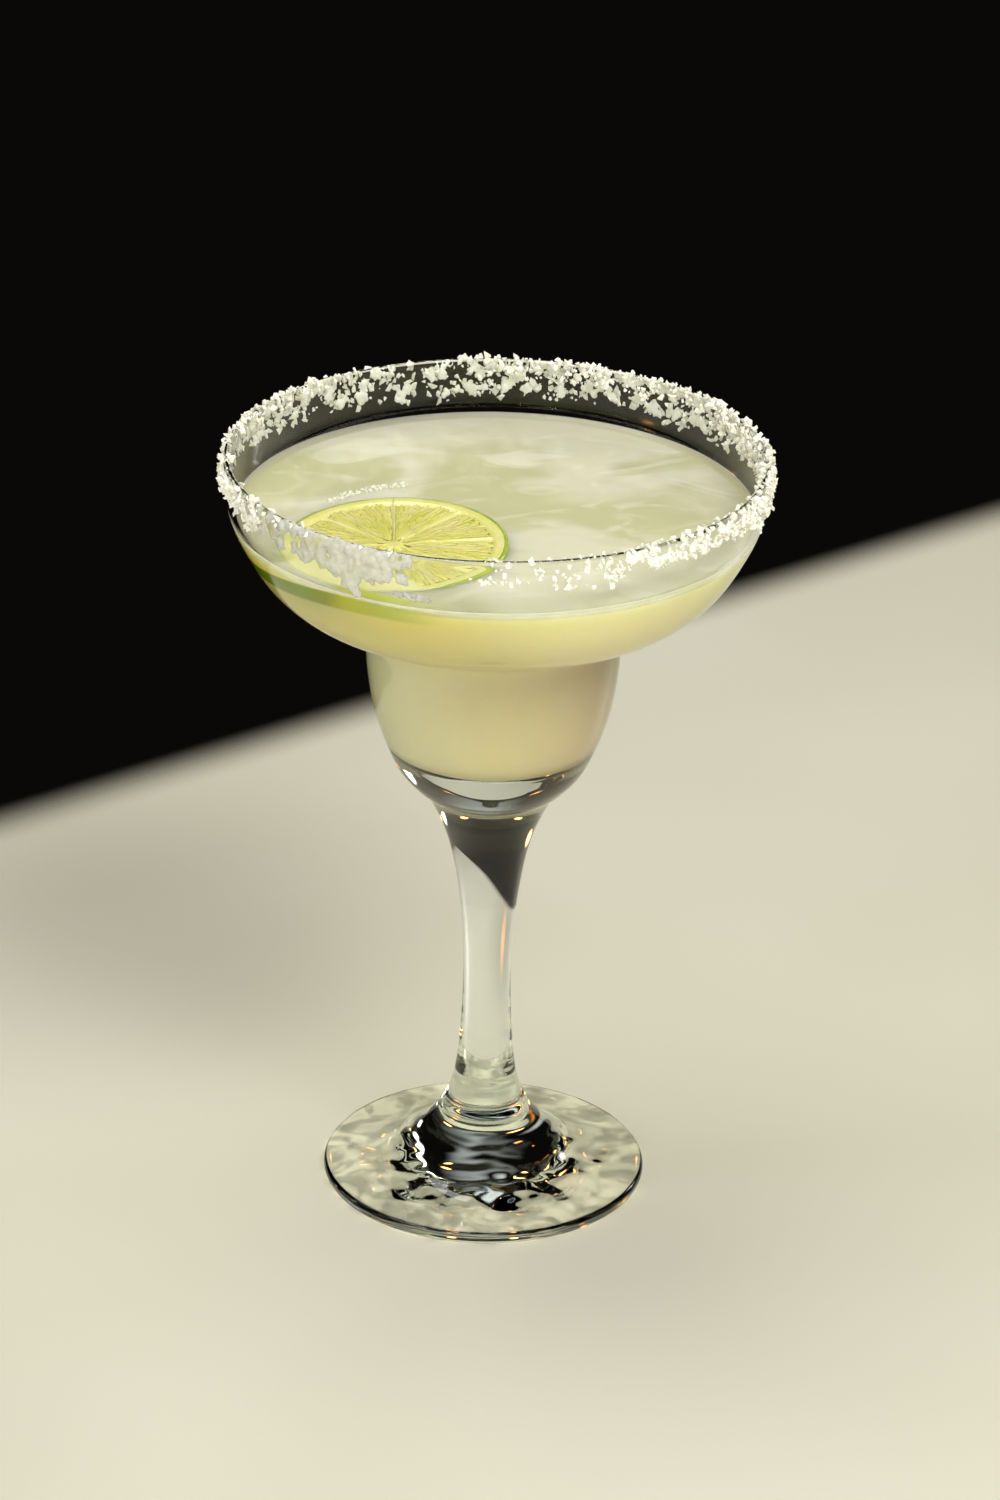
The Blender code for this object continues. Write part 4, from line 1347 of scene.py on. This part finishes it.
studio = {
    "edge point": (-125.7 * mm, 173.2 * mm),  # the floor ends behind the glass on a slanted line
    "edge turn": math.radians(39.0),
    "edge fade": 22.0 * mm,
    "reach": 2.6,
    "floor tints": (tint(203, 199, 178), tint(212, 208, 190)),
    "aim": (0.0, 0.0, 0.12),
    "soft lamps": [  # name, place, size, power, colour and where it shows
        ("keyLight", (0.55, -0.75, 1.1), (0.5, 0.5), 14.0, (1.0, 0.99, 0.96), "none"),
        ("topLight", (-0.2, 0.3, 1.4), (0.8, 0.8), 9.0, (1.0, 1.0, 0.97), "glossy"),
        ("frontFill", (-0.25, -1.5, 0.35), (1.0, 0.5), 13.5, (1.0, 1.0, 0.97), "none"),
        ("leftWindow", (-1.1, -0.15, 0.65), (0.3, 0.8), 5.0, (0.97, 0.98, 0.95), "none"),
        ("backFill", (0.9, 0.9, 0.9), (0.5, 0.5), 6.0, (1.0, 1.0, 0.96), "none"),
    ],
    "warm lamps": [
        ((0.42, 1.25, 0.5), 2.4), ((-0.6, 0.5, 0.14), 3.0), ((0.95, 0.45, 0.5), 2.6), ((-0.45, 1.2, 0.5), 3.0),
        ((-0.95, -0.35, 0.3), 2.4),
    ],
    "warm lamp size": (0.2, 0.2),
    "dim panels": [((-0.5, 0.9, 1.5), 3.0), ((0.7, 0.3, 1.6), 3.0), ((0.1, 1.4, 0.9), 1.2)],
    "dim panel size": (1.3, 0.8),
    "white lamps": [((0.55, 0.5, 0.35), 2.4), ((0.55, -0.75, 1.1), 2.4), ((-1.1, -0.15, 0.65), 2.4)],
    "white lamp size": (0.17, 0.26),
    "stem glow": (-43.0 * mm, 82.0 * mm, 20.0 * mm),  # seen through the stem as a warm streak
    "stem glow size": (22.0 * mm, 46.0 * mm),
    "dark": (0.0032, 0.0027, 0.0021, 1.0),
}


def floorMaterial():
    material, tree, shader, output = newMaterial("paleFloor", {"Roughness": 0.32})
    spot = tree.nodes.new("ShaderNodeTexCoord").outputs["Object"]
    patchColours(tree, shader, 220.0 * mm, studio["floor tints"], 0.3, 0.7)
    turn = studio["edge turn"]
    inward = Vector((math.sin(turn), -math.cos(turn), 0.0))
    start = inward.dot(Vector((*studio["edge point"], 0.0)))
    reach = addNode(tree, "ShaderNodeVectorMath", {0: spot, 1: inward}, operation="DOT_PRODUCT").outputs["Value"]
    solid = ramp(tree, reach, start - studio["edge fade"] / 2, start + studio["edge fade"] / 2)
    clear = addNode(tree, "ShaderNodeBsdfTransparent")
    mixed = addNode(tree, "ShaderNodeMixShader", {0: solid, 1: clear.outputs[0], 2: shader.outputs[0]})
    tree.links.new(mixed.outputs[0], output.inputs["Surface"])
    return material


def makeFloor():
    turn = studio["edge turn"]
    along = Vector((math.cos(turn), math.sin(turn), 0.0))
    inward = Vector((math.sin(turn), -math.cos(turn), 0.0))
    corner = Vector((*studio["edge point"], -0.05 * mm)) - inward * studio["edge fade"]
    bm = bmesh.new()
    corners = [corner - along * studio["reach"], corner + along * studio["reach"]]
    corners += [point + inward * studio["reach"] * 1.3 for point in reversed(corners)]
    face = bm.faces.new([bm.verts.new(point) for point in reversed(corners)])
    mesh = bpy.data.meshes.new("floor")
    if face.normal.z < 0:
        face.normal_flip()
    bm.to_mesh(mesh)
    bm.free()
    floor = bpy.data.objects.new("floor", mesh)
    mesh.materials.append(floorMaterial())
    bpy.context.scene.collection.objects.link(floor)


glassOnly = bpy.data.collections.new("glassOnly")
glassOnly.objects.link(bpy.data.objects["glassShell"])


def onlySeen(lamp):  # shows in glass and wet surfaces, brightest in its middle, and lights nothing
    lamp.use_nodes = True
    tree = lamp.node_tree
    path = tree.nodes.new("ShaderNodeLightPath")
    first = mathNode(tree, "LESS_THAN", path.outputs["Diffuse Depth"], 0.5)
    place = tree.nodes.new("ShaderNodeNewGeometry").outputs["Parametric"]
    away = addNode(tree, "ShaderNodeVectorMath", {0: place, 1: (0.5, 0.5, 0.0)}, operation="DISTANCE").outputs["Value"]
    strength = mathNode(tree, "MULTIPLY", first, ramp(tree, away, 0.5, 0.0))
    tree.links.new(strength, tree.nodes["Emission"].inputs["Strength"])


def softLight(name, spot, size, power, colour, glints, aim=studio["aim"]):
    lamp = bpy.data.lights.new(name, "AREA")
    lamp.shape = "RECTANGLE"
    lamp.size, lamp.size_y = size
    lamp.energy = power
    lamp.color = colour
    item = bpy.data.objects.new(name, lamp)
    item.location = spot
    item.rotation_euler = (Vector(aim) - Vector(spot)).to_track_quat("-Z", "Y").to_euler()
    item.visible_camera = False
    item.visible_glossy = glints not in ("none", "inside")
    item.visible_transmission = glints in ("inside", "only")
    if glints in ("inside", "only"):
        item.visible_diffuse = False
        item.light_linking.receiver_collection = glints == "inside" and glassOnly or None
        onlySeen(lamp)
    bpy.context.scene.collection.objects.link(item)


def makeStudio():
    makeFloor()
    for lamp in studio["soft lamps"]:
        softLight(*lamp)
    for name, kind, colour, glints in (
        ("warmLamp", "warm lamp", (1.0, 0.4, 0.1), "inside"), ("dimPanel", "dim panel", (0.97, 1.0, 0.96), "inside"),
        ("whiteLamp", "white lamp", (1.0, 0.99, 0.96), "only"),
    ):
        for index, (spot, power) in enumerate(studio[kind + "s"]):
            softLight(f"{name}{index}", spot, studio[kind + " size"], power, colour, glints)
    softLight("stemGlow", studio["stem glow"], studio["stem glow size"], 0.0026, (1.0, 0.28, 0.02), "inside",
              aim=(0.0, 0.0, 0.06))
    world = bpy.data.worlds.new("studioDark")
    world.use_nodes = True
    world.node_tree.nodes["Background"].inputs[0].default_value = studio["dark"]
    bpy.context.scene.world = world
    bpy.context.scene.view_settings.view_transform = "Standard"


makeStudio()
print("studio lit")
